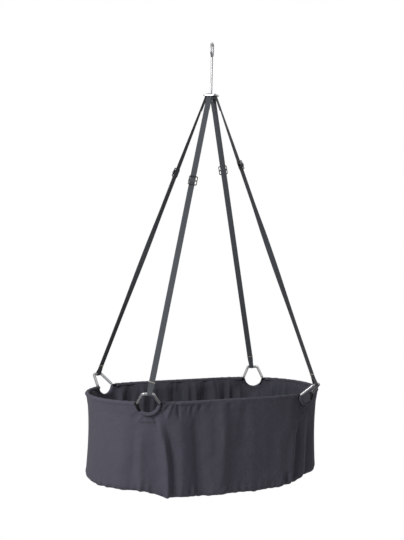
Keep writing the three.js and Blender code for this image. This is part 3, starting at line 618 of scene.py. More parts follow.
# Folds of the cover: shares of the rim at the top, half way and at the bottom, spreads to the left and right,
# height, and the depth shares where it starts, is full and ends
COVER_FOLDS = [
    (0.6140, 0.6385, 0.6432, 0.0075, 0.0068, 0.0145, 0.10, 0.55, 1.50),
    (0.6250, 0.6490, 0.6520, 0.0050, 0.0110, -0.0060, 0.14, 0.50, 1.50),
    (0.6050, 0.6030, 0.6040, 0.0100, 0.0075, 0.0068, 0.20, 0.50, 1.30),
    (0.5930, 0.5920, 0.5910, 0.0060, 0.0060, -0.0040, 0.22, 0.50, 1.10),
    (0.5740, 0.5750, 0.5740, 0.0160, 0.0100, 0.0042, 0.10, 0.50, 1.30),
    (0.6600, 0.6650, 0.6660, 0.0140, 0.0140, 0.0064, 0.06, 0.45, 1.30),
    (0.6840, 0.6910, 0.7000, 0.0110, 0.0150, -0.0085, 0.02, 0.26, 1.50),
    (0.7290, 0.7330, 0.7230, 0.0110, 0.0150, 0.0088, -0.10, 0.20, 1.40),
    (0.7600, 0.7620, 0.7620, 0.0080, 0.0110, 0.0026, -0.10, 0.05, 0.35),
    (0.7850, 0.7820, 0.7800, 0.0160, 0.0180, 0.0022, 0.30, 0.70, 1.30),
    (0.8200, 0.8170, 0.8150, 0.0120, 0.0140, -0.0022, 0.10, 0.50, 1.20),
    (0.8740, 0.8705, 0.8640, 0.0042, 0.0060, -0.0085, 0.22, 0.55, 1.30),
    (0.8620, 0.8600, 0.8560, 0.0060, 0.0040, 0.0048, 0.30, 0.60, 1.20),
    (0.8860, 0.8850, 0.8800, 0.0060, 0.0060, 0.0054, 0.12, 0.45, 1.30),
    (0.9030, 0.9030, 0.8960, 0.0060, 0.0070, -0.0067, 0.20, 0.50, 1.20),
    (0.9260, 0.9220, 0.9180, 0.0080, 0.0080, 0.0042, 0.20, 0.50, 1.20),
    (0.8500, 0.8560, 0.8440, 0.0035, 0.0045, -0.0067, 0.80, 0.94, 1.40),
    (0.8400, 0.8440, 0.8340, 0.0035, 0.0050, 0.0051, 0.78, 0.94, 1.40),
    (0.8220, 0.8300, 0.8160, 0.0035, 0.0040, -0.0048, 0.84, 0.97, 1.40),
    (0.7440, 0.7700, 0.7220, 0.0035, 0.0045, 0.0045, 0.86, 0.97, 1.40),
    (0.0400, 0.0420, 0.0440, 0.0100, 0.0100, 0.0056, 0.20, 0.80, 1.40),
    (0.0620, 0.0600, 0.0580, 0.0080, 0.0100, -0.0072, 0.20, 0.80, 1.40),
    (0.1300, 0.1270, 0.1230, 0.0080, 0.0110, 0.0120, 0.12, 0.75, 1.40),
    (0.1480, 0.1450, 0.1430, 0.0080, 0.0120, -0.0072, 0.15, 0.80, 1.40),
    (0.1800, 0.1760, 0.1740, 0.0120, 0.0140, 0.0064, 0.02, 0.50, 1.40),
    (0.2450, 0.2480, 0.2500, 0.0140, 0.0140, -0.0056, 0.00, 0.60, 1.40),
    (0.2850, 0.2820, 0.2800, 0.0120, 0.0120, 0.0072, 0.00, 0.60, 1.40),
    (0.3300, 0.3340, 0.3380, 0.0100, 0.0120, -0.0056, 0.10, 0.60, 1.40),
    (0.3620, 0.3600, 0.3560, 0.0080, 0.0100, 0.0112, 0.15, 0.80, 1.40),
    (0.3780, 0.3760, 0.3720, 0.0080, 0.0100, -0.0056, 0.15, 0.80, 1.40),
    (0.4400, 0.4420, 0.4440, 0.0120, 0.0120, 0.0042, 0.20, 0.60, 1.30),
]
# Short puckers: share and depth share of each end, spread and height
COVER_PUCKERS = [
    (0.6500, -0.020, 0.6340, 0.125, 0.0020, -0.0058),
    (0.6490, 0.000, 0.6400, 0.200, 0.0030, 0.0040),
    (0.6535, -0.020, 0.6500, 0.070, 0.0022, -0.0034),
    (0.6570, -0.020, 0.6600, 0.190, 0.0030, -0.0056),
    (0.6660, -0.020, 0.6650, 0.060, 0.0020, -0.0034),
    (0.6750, -0.020, 0.6720, 0.130, 0.0032, -0.0022),
    (0.6835, -0.020, 0.6800, 0.170, 0.0034, -0.0044),
    (0.5990, 0.100, 0.5870, 0.190, 0.0018, -0.0031),
    (0.6010, 0.130, 0.5900, 0.200, 0.0017, -0.0034),
    (0.6190, 0.170, 0.6290, 0.240, 0.0022, -0.0024),
    (0.8770, 0.100, 0.8690, 0.200, 0.0022, -0.0027),
    (0.8700, -0.020, 0.8740, 0.090, 0.0020, -0.0031),
    (0.8640, -0.020, 0.8660, 0.060, 0.0020, -0.0024),
    (0.0960, -0.020, 0.1000, 0.100, 0.0020, -0.0044),
    (0.0900, -0.020, 0.0930, 0.080, 0.0020, -0.0037),
    (0.0830, -0.020, 0.0850, 0.110, 0.0024, -0.0044),
    (0.1310, -0.020, 0.1270, 0.100, 0.0020, -0.0044),
    (0.1380, -0.020, 0.1350, 0.090, 0.0020, -0.0037),
    (0.1460, -0.020, 0.1440, 0.110, 0.0024, -0.0044),
    (0.3560, -0.020, 0.3640, 0.110, 0.0020, -0.0048),
    (0.3500, -0.020, 0.3560, 0.080, 0.0020, -0.0037),
    (0.3420, -0.020, 0.3450, 0.120, 0.0024, -0.0044),
    (0.4050, 0.020, 0.4000, 0.120, 0.0020, -0.0044),
    (0.4120, -0.020, 0.4090, 0.090, 0.0020, -0.0034),
    (0.6960, -0.020, 0.6930, 0.130, 0.0030, -0.0041),
    (0.7120, -0.020, 0.7090, 0.100, 0.0026, -0.0022),
    (0.7450, -0.020, 0.7420, 0.120, 0.0034, -0.0022),
    (0.6040, 0.150, 0.5960, 0.240, 0.0020, 0.0026),
    (0.5960, 0.050, 0.5840, 0.130, 0.0020, -0.0020),
    (0.6210, 0.160, 0.6300, 0.330, 0.0026, -0.0030),
    (0.6290, 0.050, 0.6420, 0.200, 0.0022, -0.0022),
]


def fold_line(share, depth, fold):
    """One long fold at these places: ends soft, its line bent through three shares."""
    high, middle, low, left, right, height, start, full, end = fold
    t = np.clip(depth, 0, 1)
    centre = high * (1 - t) * (1 - 2 * t) + 4 * middle * t * (1 - t) + low * t * (2 * t - 1)
    return height * ridge(share, centre, left, right) * ramp(depth, start, full) * (1 - ramp(depth, end - 0.3, end))


def pucker_line(share, depth, pucker):
    """One short pucker between its two ends, deepest in its middle."""
    first, high, last, low, spread, height = pucker
    t = (depth - high) / (low - high)
    centre = first + (last - first) * np.clip(t, 0, 1)
    return height * bump(share, centre, spread) * ramp(t, -0.15, 0.25) * (1 - ramp(t, 0.6, 1.15))


def cover_fold(share, depth):
    """How far the cover stands out of its plain oval at a depth share."""
    out = sum(fold_line(share, depth, fold) for fold in COVER_FOLDS)
    out = out + sum(pucker_line(share, depth, pucker) for pucker in COVER_PUCKERS)
    out = out + 0.0026 * ramp(depth, 0.82, 1.0) * wander(share, depth, [47, 58, 71, 83, 96], 3, 1.0)
    calm = 0.4 + 0.6 * ramp(np.abs(np.mod(share, 1) - 0.54), 0.02, 0.08)
    return np.maximum(out + 0.0013 * calm * wander(share, depth, [9, 14, 19, 29, 41], 7), SUNK)


def side_hang(share):
    """How far the long sides hang below the ends."""
    to_end = np.abs(np.mod(share + 0.25, 0.5) - 0.25)
    places = [0.100, 0.115, 0.130, 0.142, 0.165, 0.200, 0.250]
    return np.interp(to_end, places, [0, 0.006, 0.015, 0.021, 0.027, 0.031, 0.031])


def close_shares(columns):
    """Shares round the rim, closer together where the folds are sharp."""
    places = np.linspace(0, 1, 2001)
    sharp = [(1.6, 0.645, 0.040), (0.9, 0.870, 0.035), (0.5, 0.13, 0.05)]
    density = 1 + sum(amount * bump(places, centre, spread) for amount, centre, spread in sharp)
    total = np.concatenate([[0], np.cumsum((density[1:] + density[:-1]) / 2)])
    return np.interp(np.linspace(0, 1, columns + 1), total / total[-1], places)


def wall_rows(first, depth, knee, draw, straight, turning):
    """Depth under the rim and draw inwards of each row: down the wall and round the knee."""
    rows = [(place, 0.0) for place in np.linspace(first, depth - knee, straight)]
    for turn in np.arange(1, turning + 1) / turning * math.pi / 2:
        rows.append((depth - knee + knee * math.sin(turn), draw * (1 - math.cos(turn))))
    return rows


def cover_rows(rim, share):
    """Rows of the cover's outer face from the inside of the rim, over the rail and down to the bottom seam."""
    sizes, rows, runs, run = rim.sizes, [], [], 0.0
    roll = sizes.rail + CLEAR + sizes.cloth
    near = np.exp(-(np.min([np.abs(share - corner.share) for corner in CORNERS.values()], axis=0) / 0.055) ** 2)
    pucker = (0.0003 + 0.0010 * near) * wander(share, 0, [61, 83, 107, 131], 5)
    girth = roll + np.maximum(pucker + 0.0004 * near, -CLEAR)
    inner, outer = 215, -15
    for angle in np.radians(np.linspace(inner, outer, ROLL_ROWS)):
        flat = rim.inside(share, sizes.rim_inset - girth * math.cos(angle))
        rows.append(np.column_stack([flat, rim.rail_height + girth * math.sin(angle)]))
        runs.append(run)
        run += roll * math.radians(inner - outer) / (ROLL_ROWS - 1)
    knee, top, step = sizes.rounding, 0.0125, 0.0055
    for depth, inward in wall_rows(top, sizes.depth, knee, knee, WALL_ROWS, KNEE_ROWS):
        part = np.full_like(share, min(1.0, depth / sizes.depth))
        inset = 0.0005 + 0.0040 * ramp(depth, 0.012, 0.05) + inward + rim.end_draw(share, part)
        neck = 0.0016 * ramp(depth, 0.009, 0.016) * (1 - ramp(depth, 0.018, 0.04))
        out = cover_fold(share, part) * (1 - 0.75 * inward / knee)
        tucked = 1 - 0.65 * ramp(inward, 0.25 * knee, knee)
        hang = side_hang(share) * ramp(part, 0.30, 0.93) * tucked
        tip = 0.0065 * ridge(share, 0.6445, 0.010, 0.006, 1.3) * ramp(part, 0.72, 0.97) * tucked
        scallop = 0.0022 * np.maximum(0, wander(share, 0, [23, 37, 52, 64], 11)) * ramp(part, 0.85, 1.0)
        height = sizes.rim_height - depth - hang - tip - scallop
        rows.append(np.column_stack([rim.inside(share, inset + neck - out), height]))
        run += step if inward == 0 else knee * math.pi / 2 / KNEE_ROWS
        runs.append(run)
    return np.array(rows), np.array(runs)


def cut_notches(points, faces, radius, reach):
    """Leaves out the faces inside the corner openings and draws the cut edges onto the openings' lines."""
    near = {}
    for name, corner in CORNERS.items():
        along, up, out = corner.measure(points)
        near[name] = (np.abs(out) < reach) & (np.where(up < 0, np.hypot(along, up), np.abs(along)) < radius)
    faces = np.asarray(faces)
    faces = faces[~np.any(list(near.values()), axis=0)[faces].all(axis=1)]
    used = np.zeros(len(points), bool)
    used[faces] = True
    edges = {}
    for name, corner in CORNERS.items():
        chosen = np.flatnonzero(near[name] & used)
        along, up, _ = corner.measure(points[chosen])
        scale = radius / np.maximum(np.hypot(along, up), 1e-9)
        new_along = np.where(up < 0, along * scale, np.sign(along) * radius)
        new_up = np.where(up < 0, up * scale, up)
        points[chosen] += (new_along - along)[:, None] * corner.along + (new_up - up)[:, None] * UP
        edges[name] = points[chosen].copy()
    return faces, edges


def cloth_wall(name, rim, share, rows, runs, radius, reach, way):
    """Cloth round the rim with its corner openings cut, and the lines of their edges. Way 1 faces in, -1 out."""
    points = rows.reshape(-1, 3)
    uvs = np.stack(np.broadcast_arrays(share * rim.length, np.array(runs)[:, None]), -1).reshape(-1, 2)
    faces, edges = cut_notches(points, grid_faces(len(rows), len(share), False), radius, reach)
    used, faces = np.unique(faces, return_inverse=True)
    wall = piece_from(name, points[used], faces.reshape(-1, 4)[:, ::way], uvs[used])
    repair(wall, 1e-5, outward=False)
    thicken(wall, rim.sizes.cloth)
    return wall, edges


def cloth_bottom(name, rows, middle, thickness, way):
    """Oval panel from its seam in to its middle, with its flat size and area. Way 1 faces up, -1 down."""
    columns, points = len(rows[0]), np.concatenate([*rows, [middle]])
    faces = grid_faces(len(rows), columns, True) + fan_faces((len(rows) - 1) * columns, columns, len(points) - 1)
    piece = piece_from(name, points, [face[::way] for face in faces], points[:, :2])
    thicken(piece, thickness)
    seam, edge = rows[0], np.roll(rows[0], -1, axis=0)
    area = abs((seam[:, 0] * edge[:, 1] - edge[:, 0] * seam[:, 1]).sum()) / 2
    return piece, (np.ptp(seam[:, 0]), np.ptp(seam[:, 1])), area


class CRADLE_OT_cover(bpy.types.Operator):
    """Outer cover: wall with its folds rolled over the rails, bottom panel, bindings and seams"""

    bl_idname = "cradle.cover"
    bl_label = "Outer cover"

    def execute(self, context):
        sizes = context.scene.cradle_basket
        rim, share, reach = Rim(sizes), close_shares(600), 0.034
        rows, runs = cover_rows(rim, share)
        wall, edges = cloth_wall("cover_wall", rim, share, rows, runs, sizes.notch, reach, -1)
        finished(wall, "Slate cover cloth", "basket", "outer_cover")
        self.bottom(sizes, rows[-1][:-1])
        for name, line in edges.items():
            self.binding(name, line)
        self.stitching(sizes, rim, rows, share)
        return {"FINISHED"}

    def bottom(self, sizes, seam):
        """Bottom panel, drawn in from the seam with a little sag."""
        level, sag = sizes.rim_height - sizes.depth, 0.0022
        rows = []
        for step in np.linspace(1, 0, 24)[:-1]:
            height = (seam[:, 2] - level) * step ** 6 + level - sag * (1 - step ** 2)
            rows.append(np.column_stack([seam[:, :2] * step, height]))
        piece, flat, area = cloth_bottom("cover_bottom", rows, (0, 0, level - sag), sizes.cloth, -1)
        finished(piece, "Slate cover cloth", "basket", "outer_cover")

    def binding(self, name, line):
        """Folded edge round a corner opening: a soft flattened bead swept on its line."""
        corner, section, width, height = CORNERS[name], 12, 0.0034, 0.0030
        along, up, _ = corner.measure(line)
        low = up < 0.004
        angle = np.mod(np.arctan2(up[low], along[low]) + 3 * math.pi / 2, 2 * math.pi)
        path = resampled(line[low][np.argsort(angle)], 0.003)
        for _ in range(3):
            path[1:-1] = (path[:-2] + 2 * path[1:-1] + path[2:]) / 4
        away = path - corner.centre
        away[:, 2] = np.minimum(away[:, 2], 0)
        away = away - (away @ corner.normal)[:, None] * corner.normal
        away /= np.linalg.norm(away, axis=1, keepdims=True)
        path = path + away * 0.0006 - corner.normal * 0.0008
        rows, uvs = [], []
        for place, out, tangent, run in zip(path, away, np.gradient(path, axis=0), run_along(path)):
            side = square_to(unit(tangent), out)
            up = np.cross(unit(tangent), side)
            rows.append([])
            for k in range(section):
                x, y = math.cos(2 * math.pi * k / section), math.sin(2 * math.pi * k / section)
                wide = math.copysign(abs(x) ** 0.7, x) * width / 2
                tall = math.copysign(abs(y) ** 0.7, y) * height / 2 * (1 + 0.06 * math.sin(run * 900 + k))
                rows[-1].append(place + side * wide + up * tall)
                uvs.append((run, (k + 0.5) / section * 2 * (width + height)))
        finished(swept(f"cover_binding_{name}", rows, uvs), "Slate binding", "basket")

    def stitching(self, sizes, rim, rows, shares):
        """Seam stitches round the bottom and under each ring."""
        proud, tall = 0.0004, 0.0022
        seam = rows[-4][:-1]
        line = seam + np.column_stack([rim.normal(shares[:-1]) * proud, np.full(len(seam), -proud)])
        piece = stitches("cover_seam_stitches", [np.concatenate([line, line[:1]])])
        finished(piece, "Slate thread", "basket")
        under, half, places = 0.068, 0.028, 29
        depths = sizes.rim_height - rows[ROLL_ROWS:ROLL_ROWS + WALL_ROWS, 0, 2]
        row = ROLL_ROWS + np.interp(under, depths, np.arange(WALL_ROWS))
        low, part = int(row), row % 1
        level = rows[low] * (1 - part) + rows[low + 1] * part
        for name, corner in CORNERS.items():
            share = corner.share + np.linspace(-half, half, places) / rim.length
            upper = at_marks(share, shares, level)
            upper[:, :2] += rim.normal(share) * proud
            piece = stitches(f"ring_seam_{name}", [upper, upper - UP * tall], pitch=0.0034, share=0.8, radius=0.0007)
            finished(piece, "Dark thread", "basket")


class CRADLE_OT_lining(bpy.types.Operator):
    """Lining: gathered wall and floor"""

    bl_idname = "cradle.lining"
    bl_label = "Lining"

    def execute(self, context):
        sizes = context.scene.cradle_basket
        rim, share = Rim(sizes), np.linspace(0, 1, 541)
        rows, runs, step = [], [], 0.0057
        top, floor, knee, draw = 0.0095, 0.2969, 0.030, 0.022
        folds = self.folds(64)
        for depth, inward in wall_rows(top, floor, knee, draw, 46, 8):
            part = np.full_like(share, depth / sizes.depth)
            gather = sum(fold_line(share, part, fold) for fold in folds) * (0.5 + 0.5 * ramp(depth, 0.01, 0.06))
            gather = gather + 0.0005 * wander(share, part, [92, 117, 140], 23, 4.0)
            gather = np.clip(gather * (1 - inward / knee), -0.0045, 0.0125)
            inset = 0.0136 + 0.0052 * ramp(depth, 0.009, 0.030) + inward + rim.end_draw(share, part)
            flat = rim.inside(share, inset + gather)
            rows.append(np.column_stack([flat, np.full_like(share, sizes.rim_height - depth)]))
            runs.append(step * len(runs))
        rows, reach = np.array(rows), 0.040
        for corner in CORNERS.values():
            along, up, out = corner.measure(rows)
            away = np.where(up < 0, np.hypot(along, up), np.abs(along))
            pull = (1 - ramp(away, 0.038, 0.085)) * (np.abs(out) < 0.05)
            rows += (pull * np.maximum(0, SUNK - out))[..., None] * corner.normal
        wall, _ = cloth_wall("lining_wall", rim, share, rows, runs, sizes.lining_notch, reach, 1)
        finished(wall, "Slate lining cloth", "basket", "lining")
        flat = rim.length * 1.05, step * len(runs)
        seam = rows[-1][:-1]
        rows = [np.column_stack([seam[:, :2] * part, seam[:, 2]]) for part in np.linspace(1, 0, 20)[:-1]]
        piece, flat, area = cloth_bottom("lining_floor", rows, (0, 0, seam[0, 2]), sizes.cloth, 1)
        finished(piece, "Slate lining cloth", "basket", "lining")
        return {"FINISHED"}

    def folds(self, count):
        """Gathers at uneven places, most of them standing inwards."""
        source, folds = np.random.default_rng(21), []
        for k in range(count):
            place = (k + source.uniform(-0.35, 0.35)) / count
            height = source.choice([-1, 1, 1]) * source.uniform(0.0030, 0.0115)
            end = source.uniform(0.5, 1.6)
            middle, low = place + source.normal(0, 0.004), place + source.normal(0, 0.006)
            left, right = source.uniform(0.003, 0.009), source.uniform(0.003, 0.009)
            folds.append((place, middle, low, left, right, height, -0.1, source.uniform(0.0, 0.15), end))
        return folds


class CRADLE_OT_mattress(bpy.types.Operator):
    """Mattress: foam pad in ticking, swollen by its filling"""

    bl_idname = "cradle.mattress"
    bl_label = "Mattress"

    def execute(self, context):
        sizes = context.scene.cradle_basket
        rim, columns, full, inset = Rim(sizes), 120, sizes.mattress, 0.036
        under_rim, foot = 0.2951, 0.0005
        bottom = sizes.rim_height - under_rim
        share = np.arange(columns) / columns
        profile = [(0.012, 0.0), (0.004, 0.005), (0.0, full / 2), (0.004, full - 0.006), (0.012, full - 0.001)]
        rows = [
            np.column_stack([rim.inside(share, inset + draw), np.full(columns, bottom + foot + rise)])
            for draw, rise in profile
        ]
        rows.append(np.column_stack([rows[-1][:, :2] * 0.6, np.full(columns, bottom + full)]))
        points = np.concatenate([[[0, 0, bottom + foot]], *rows, [[0, 0, bottom + full]]])
        end = len(points) - 1
        faces = [tuple(k + 1 for k in face) for face in grid_faces(len(rows), columns, True)]
        faces += [face[::-1] for face in fan_faces(1, columns, 0)] + fan_faces(end - columns, columns, end)
        pad = piece_from("mattress_pad", points, faces)
        self.fill(pad, context.scene)
        modifier = pad.modifiers.new("Softening", "SUBSURF")
        modifier.levels = modifier.render_levels = 1
        apply_modifiers(pad)
        smooth(pad)
        finished(pad, "Mattress ticking", "basket", "mattress")
        return {"FINISHED"}

    def fill(self, pad, scene):
        """Swells the pad with cloth simulation and keeps each point near its start."""
        furthest, frames = 0.007, 20
        remesh = pad.modifiers.new("Even mesh", "REMESH")
        remesh.mode, remesh.voxel_size = "VOXEL", 0.006
        apply_modifiers(pad)
        start = np.array([v.co for v in pad.data.vertices])
        cloth = pad.modifiers.new("Filling", "CLOTH")
        cloth.settings.use_pressure = True
        cloth.settings.uniform_pressure_force = 4
        cloth.settings.effector_weights.gravity = 0
        for step in range(1, frames + 1):
            scene.frame_set(step)
        apply_modifiers(pad)
        scene.frame_set(1)
        move = np.array([v.co for v in pad.data.vertices]) - start
        far = np.linalg.norm(move, axis=1, keepdims=True)
        end = start + move * np.minimum(1, furthest / np.maximum(far, 1e-9))
        end[:, 2] = np.maximum(end[:, 2], start[:, 2].min())
        pad.data.vertices.foreach_set("co", end.ravel())
        pad.data.update()


class CRADLE_OT_rails(bpy.types.Operator):
    """Rails and base board inside the cloth"""

    bl_idname = "cradle.rails"
    bl_label = "Rails and base board"

    def execute(self, context):
        rim = Rim(context.scene.cradle_basket)
        reach = 0.0615 / rim.length
        ends = [*CORNERS.values(), CORNERS["front_right"]]
        for side, first, second in zip(("right", "back", "left", "front"), ends, ends[1:]):
            start, end = first.share + reach, second.share - reach
            if end < start:
                end += 1
            share = np.linspace(start, end, int((end - start) * rim.length / 0.006))
            piece = bent_bar(f"rail_{side}_bar", rim.rail(share), rim.sizes.rail, sides=4)
            finished(piece, "Black coated steel", "basket", f"rail_{side}")
        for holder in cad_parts["base_board"].material_slots:
            holder.material = bpy.data.materials["Birch plywood"]
        return {"FINISHED"}


class CRADLE_OT_brackets(bpy.types.Operator):
    """Black U brackets, their fabric sleeves and the polished bails"""

    bl_idname = "cradle.brackets"
    bl_label = "Brackets, sleeves and bails"

    def execute(self, context):
        sizes = context.scene.cradle_fittings
        rim = Rim(context.scene.cradle_basket)
        for name, corner in CORNERS.items():
            self.bracket(name, corner, sizes, rim)
            self.sleeve(name, corner, sizes)
            self.bail(name, corner, sizes)
        return {"FINISHED"}

    def bracket(self, name, corner, sizes, rim):
        """U bar under the ring, its ends bent out along the rim to the rails."""
        arc = corner.arc(sizes, 12, 33)
        reach, joint, plug = 0.044, 0.0323, 0.0143
        arms = []
        for side, end in ((-1, arc[0]), (1, arc[-1])):
            bend = rim.rail(corner.share + side * reach / rim.length)
            bottom = rim.rail(corner.share + side * (reach + joint) / rim.length)
            knee = corner.centre + corner.along * side * sizes.ring
            curve = [
                (bend + (knee - bend) * s) * (1 - s) + (knee + (end - knee) * s) * s
                for s in np.linspace(0, 1, 9)[:-1]
            ]
            arms.append([bottom - unit(bottom - bend) * plug, *curve])
        route = resampled([*arms[0], *arc, *reversed(arms[1])], 0.0022)
        piece = bent_bar(f"bracket_{name}", route, sizes.bar, sides=6)
        finished(piece, "Black coated steel", "basket", f"u_bracket_{name}")

    def sleeve(self, name, corner, sizes):
        """Puckered cloth round the bar with a stitched groove, over three quarters of the arc."""
        path = corner.arc(sizes, 6, 60)
        path = path[:46] if corner.centre[0] * corner.along[0] > 0 else path[14:]
        radius, section, groove, step = sizes.bar + 0.0014, 36, 1.15, 0.0014
        rows, uvs = [], []
        for i, place in enumerate(path):
            away = unit(corner.centre - place)
            rows.append([])
            for k in range(section):
                angle = 2 * math.pi * k / section
                pucker = 1 + 0.035 * math.sin(i * 1.9 + 2 * math.sin(angle * 2)) + 0.03 * math.sin(angle * 3 + i * 0.7)
                lip = 1 - 0.10 * (i in (0, len(path) - 1)) - 0.24 * math.exp(-(((angle - groove) / 0.2) ** 2))
                out = away * math.cos(angle) + corner.normal * math.sin(angle)
                rows[-1].append(place + out * radius * pucker * lip)
                uvs.append((i * step, k / section * 2 * math.pi * radius))
        piece = swept(f"sleeve_{name}", rows, uvs, capped=False)
        thicken(piece, 0.0010)
        finished(piece, "Slate binding", "basket", f"ring_sleeve_{name}")

    def bail(self, name, corner, sizes):
        """V-shaped bail with a blunt top, its feet pinned to the bracket."""
        feet, tops = [], []
        for side in (-1, 1):
            feet.append(corner.centre + corner.along * side * (sizes.ring + 0.00075) - UP * 0.0015)
            half = sizes.bail_top / 2 + sizes.bail_corner * 0.7
            tops.append(corner.centre + corner.along * side * half + corner.rise(sizes) * sizes.bail_reach)
        ends = [foot + unit(top - foot) * 0.0056 for foot, top in zip(feet, tops)]
        route = rounded([ends[0], tops[0], tops[1], ends[1]], sizes.bail_corner, 10)
        piece = bent_bar(f"polished_bail_{name}", route, sizes.bar, sides=8)
        break_edges(piece, 0.0007, 2, 60)
        pins = []
        for end, foot in zip(ends, feet):
            along = unit(end - foot)
            pins.append(bent_bar("pin", [end - along * 0.005, end + along * 0.002], 0.0032))
        select_only(piece)
        for pin in pins:
            pin.select_set(True)
        bpy.ops.object.join()
        finished(piece, "Polished steel", "basket", f"bail_{name}")


# Webbing
class Strap:
    """Line of a strap from its bail up to the plate, with its width and outward directions."""

    def __init__(self, corner, sizes):
        self.corner, self.sizes = corner, sizes
        aside = math.copysign(0.005, corner.centre[0] * corner.along[0])
        self.apex = corner.centre + corner.rise(sizes) * sizes.bail_reach - corner.along * aside
        self.azimuth = unit([*np.sign(corner.centre[:2]), 0])
        self.step = (sizes.web_thickness + CLEAR) / 2
        self.stand = self.step + sizes.web_thickness / 2 + CLEAR
        self.wrap = BRIDGE_HALF + CLEAR + sizes.web_thickness / 2
        self.top = self.azimuth * (BRIDGE + self.wrap)
        self.top[2] = sizes.plate_height - sizes.plate_thickness / 2 - PLATE_GAP
        self.length = np.linalg.norm(self.top - self.apex)
        self.slider = self.length * (1 - corner.slider)
        along = unit(self.top - self.apex)
        width = square_to(along, corner.along)
        out = np.cross(along, width)
        if out @ self.azimuth < 0:
            width, out = -width, -out
        self.along = unit(self.top - (self.apex - out * self.step))
        self.width = square_to(self.along, width)
        self.out = np.cross(self.along, self.width)
        self.bail = corner.along * np.sign(corner.along @ self.width)
        bar = np.array([-self.azimuth[1], self.azimuth[0], 0])
        self.bar = bar * np.sign(bar @ self.width)
        self.upper = square_to(self.along, self.bar)
        upper_out = np.cross(self.along, self.upper)
        self.upper_out = upper_out * np.sign(upper_out @ self.azimuth)

    def at(self, height, offset=0.0):
        """Place at a height over the bail, set off outwards."""
        return self.apex + self.along * height + self.out * offset

    def under_plate(self, down, offset=0.0, side=0.0):
        """Place below the plate, set off outwards and to the side."""
        return self.top - self.along * down + self.upper * side + self.upper_out * offset

    def twisted(self, height, offset):
        """Station of the double run, turned between what the keeper and the slider reach."""
        low = self.corner.keeper + self.sizes.keeper_travel
        high = self.slider - self.sizes.slider_travel - self.sizes.slider
        share = np.clip((height - low) / (high - low), 0, 1)
        angle = self.corner.twist * math.sin(math.pi * share ** 1.4) ** 2
        width = self.width * math.cos(angle) + np.cross(self.along, self.width) * math.sin(angle)
        out = np.cross(self.along, width)
        return self.apex + self.along * height + out * offset, width, self.sizes.web_width


def tape(name, stations, spacing, thickness):
    """Webbing swept through stations of place, width direction and span, taken at even steps."""
    places, widths, spans = (np.array(values) for values in zip(*((p, unit(w), s) for p, w, s in stations)))
    run = run_along(places)
    marks = np.linspace(0, run[-1], int(run[-1] / spacing) + 1)
    places, widths, spans = at_marks(marks, run, places), at_marks(marks, run, widths), np.interp(marks, run, spans)
    shares, thinned, half_width = np.linspace(-1, 1, 9), 0.45, 0.010
    rows, uvs = [], []
    for place, width, span, tangent, at in zip(places, widths, spans, np.gradient(places, axis=0), run_along(places)):
        width = square_to(unit(tangent), width)
        face = np.cross(width, unit(tangent))
        rows.append([])
        for side in (1, -1):
            for x in shares * side:
                edge = 1 - thinned * abs(x) ** 12
                rows[-1].append(place + width * x * span / 2 + face * side * thickness / 2 * edge)
                uvs.append((x * half_width, at))
    piece = swept(name, rows, uvs)
    smooth(piece, 60)
    return piece


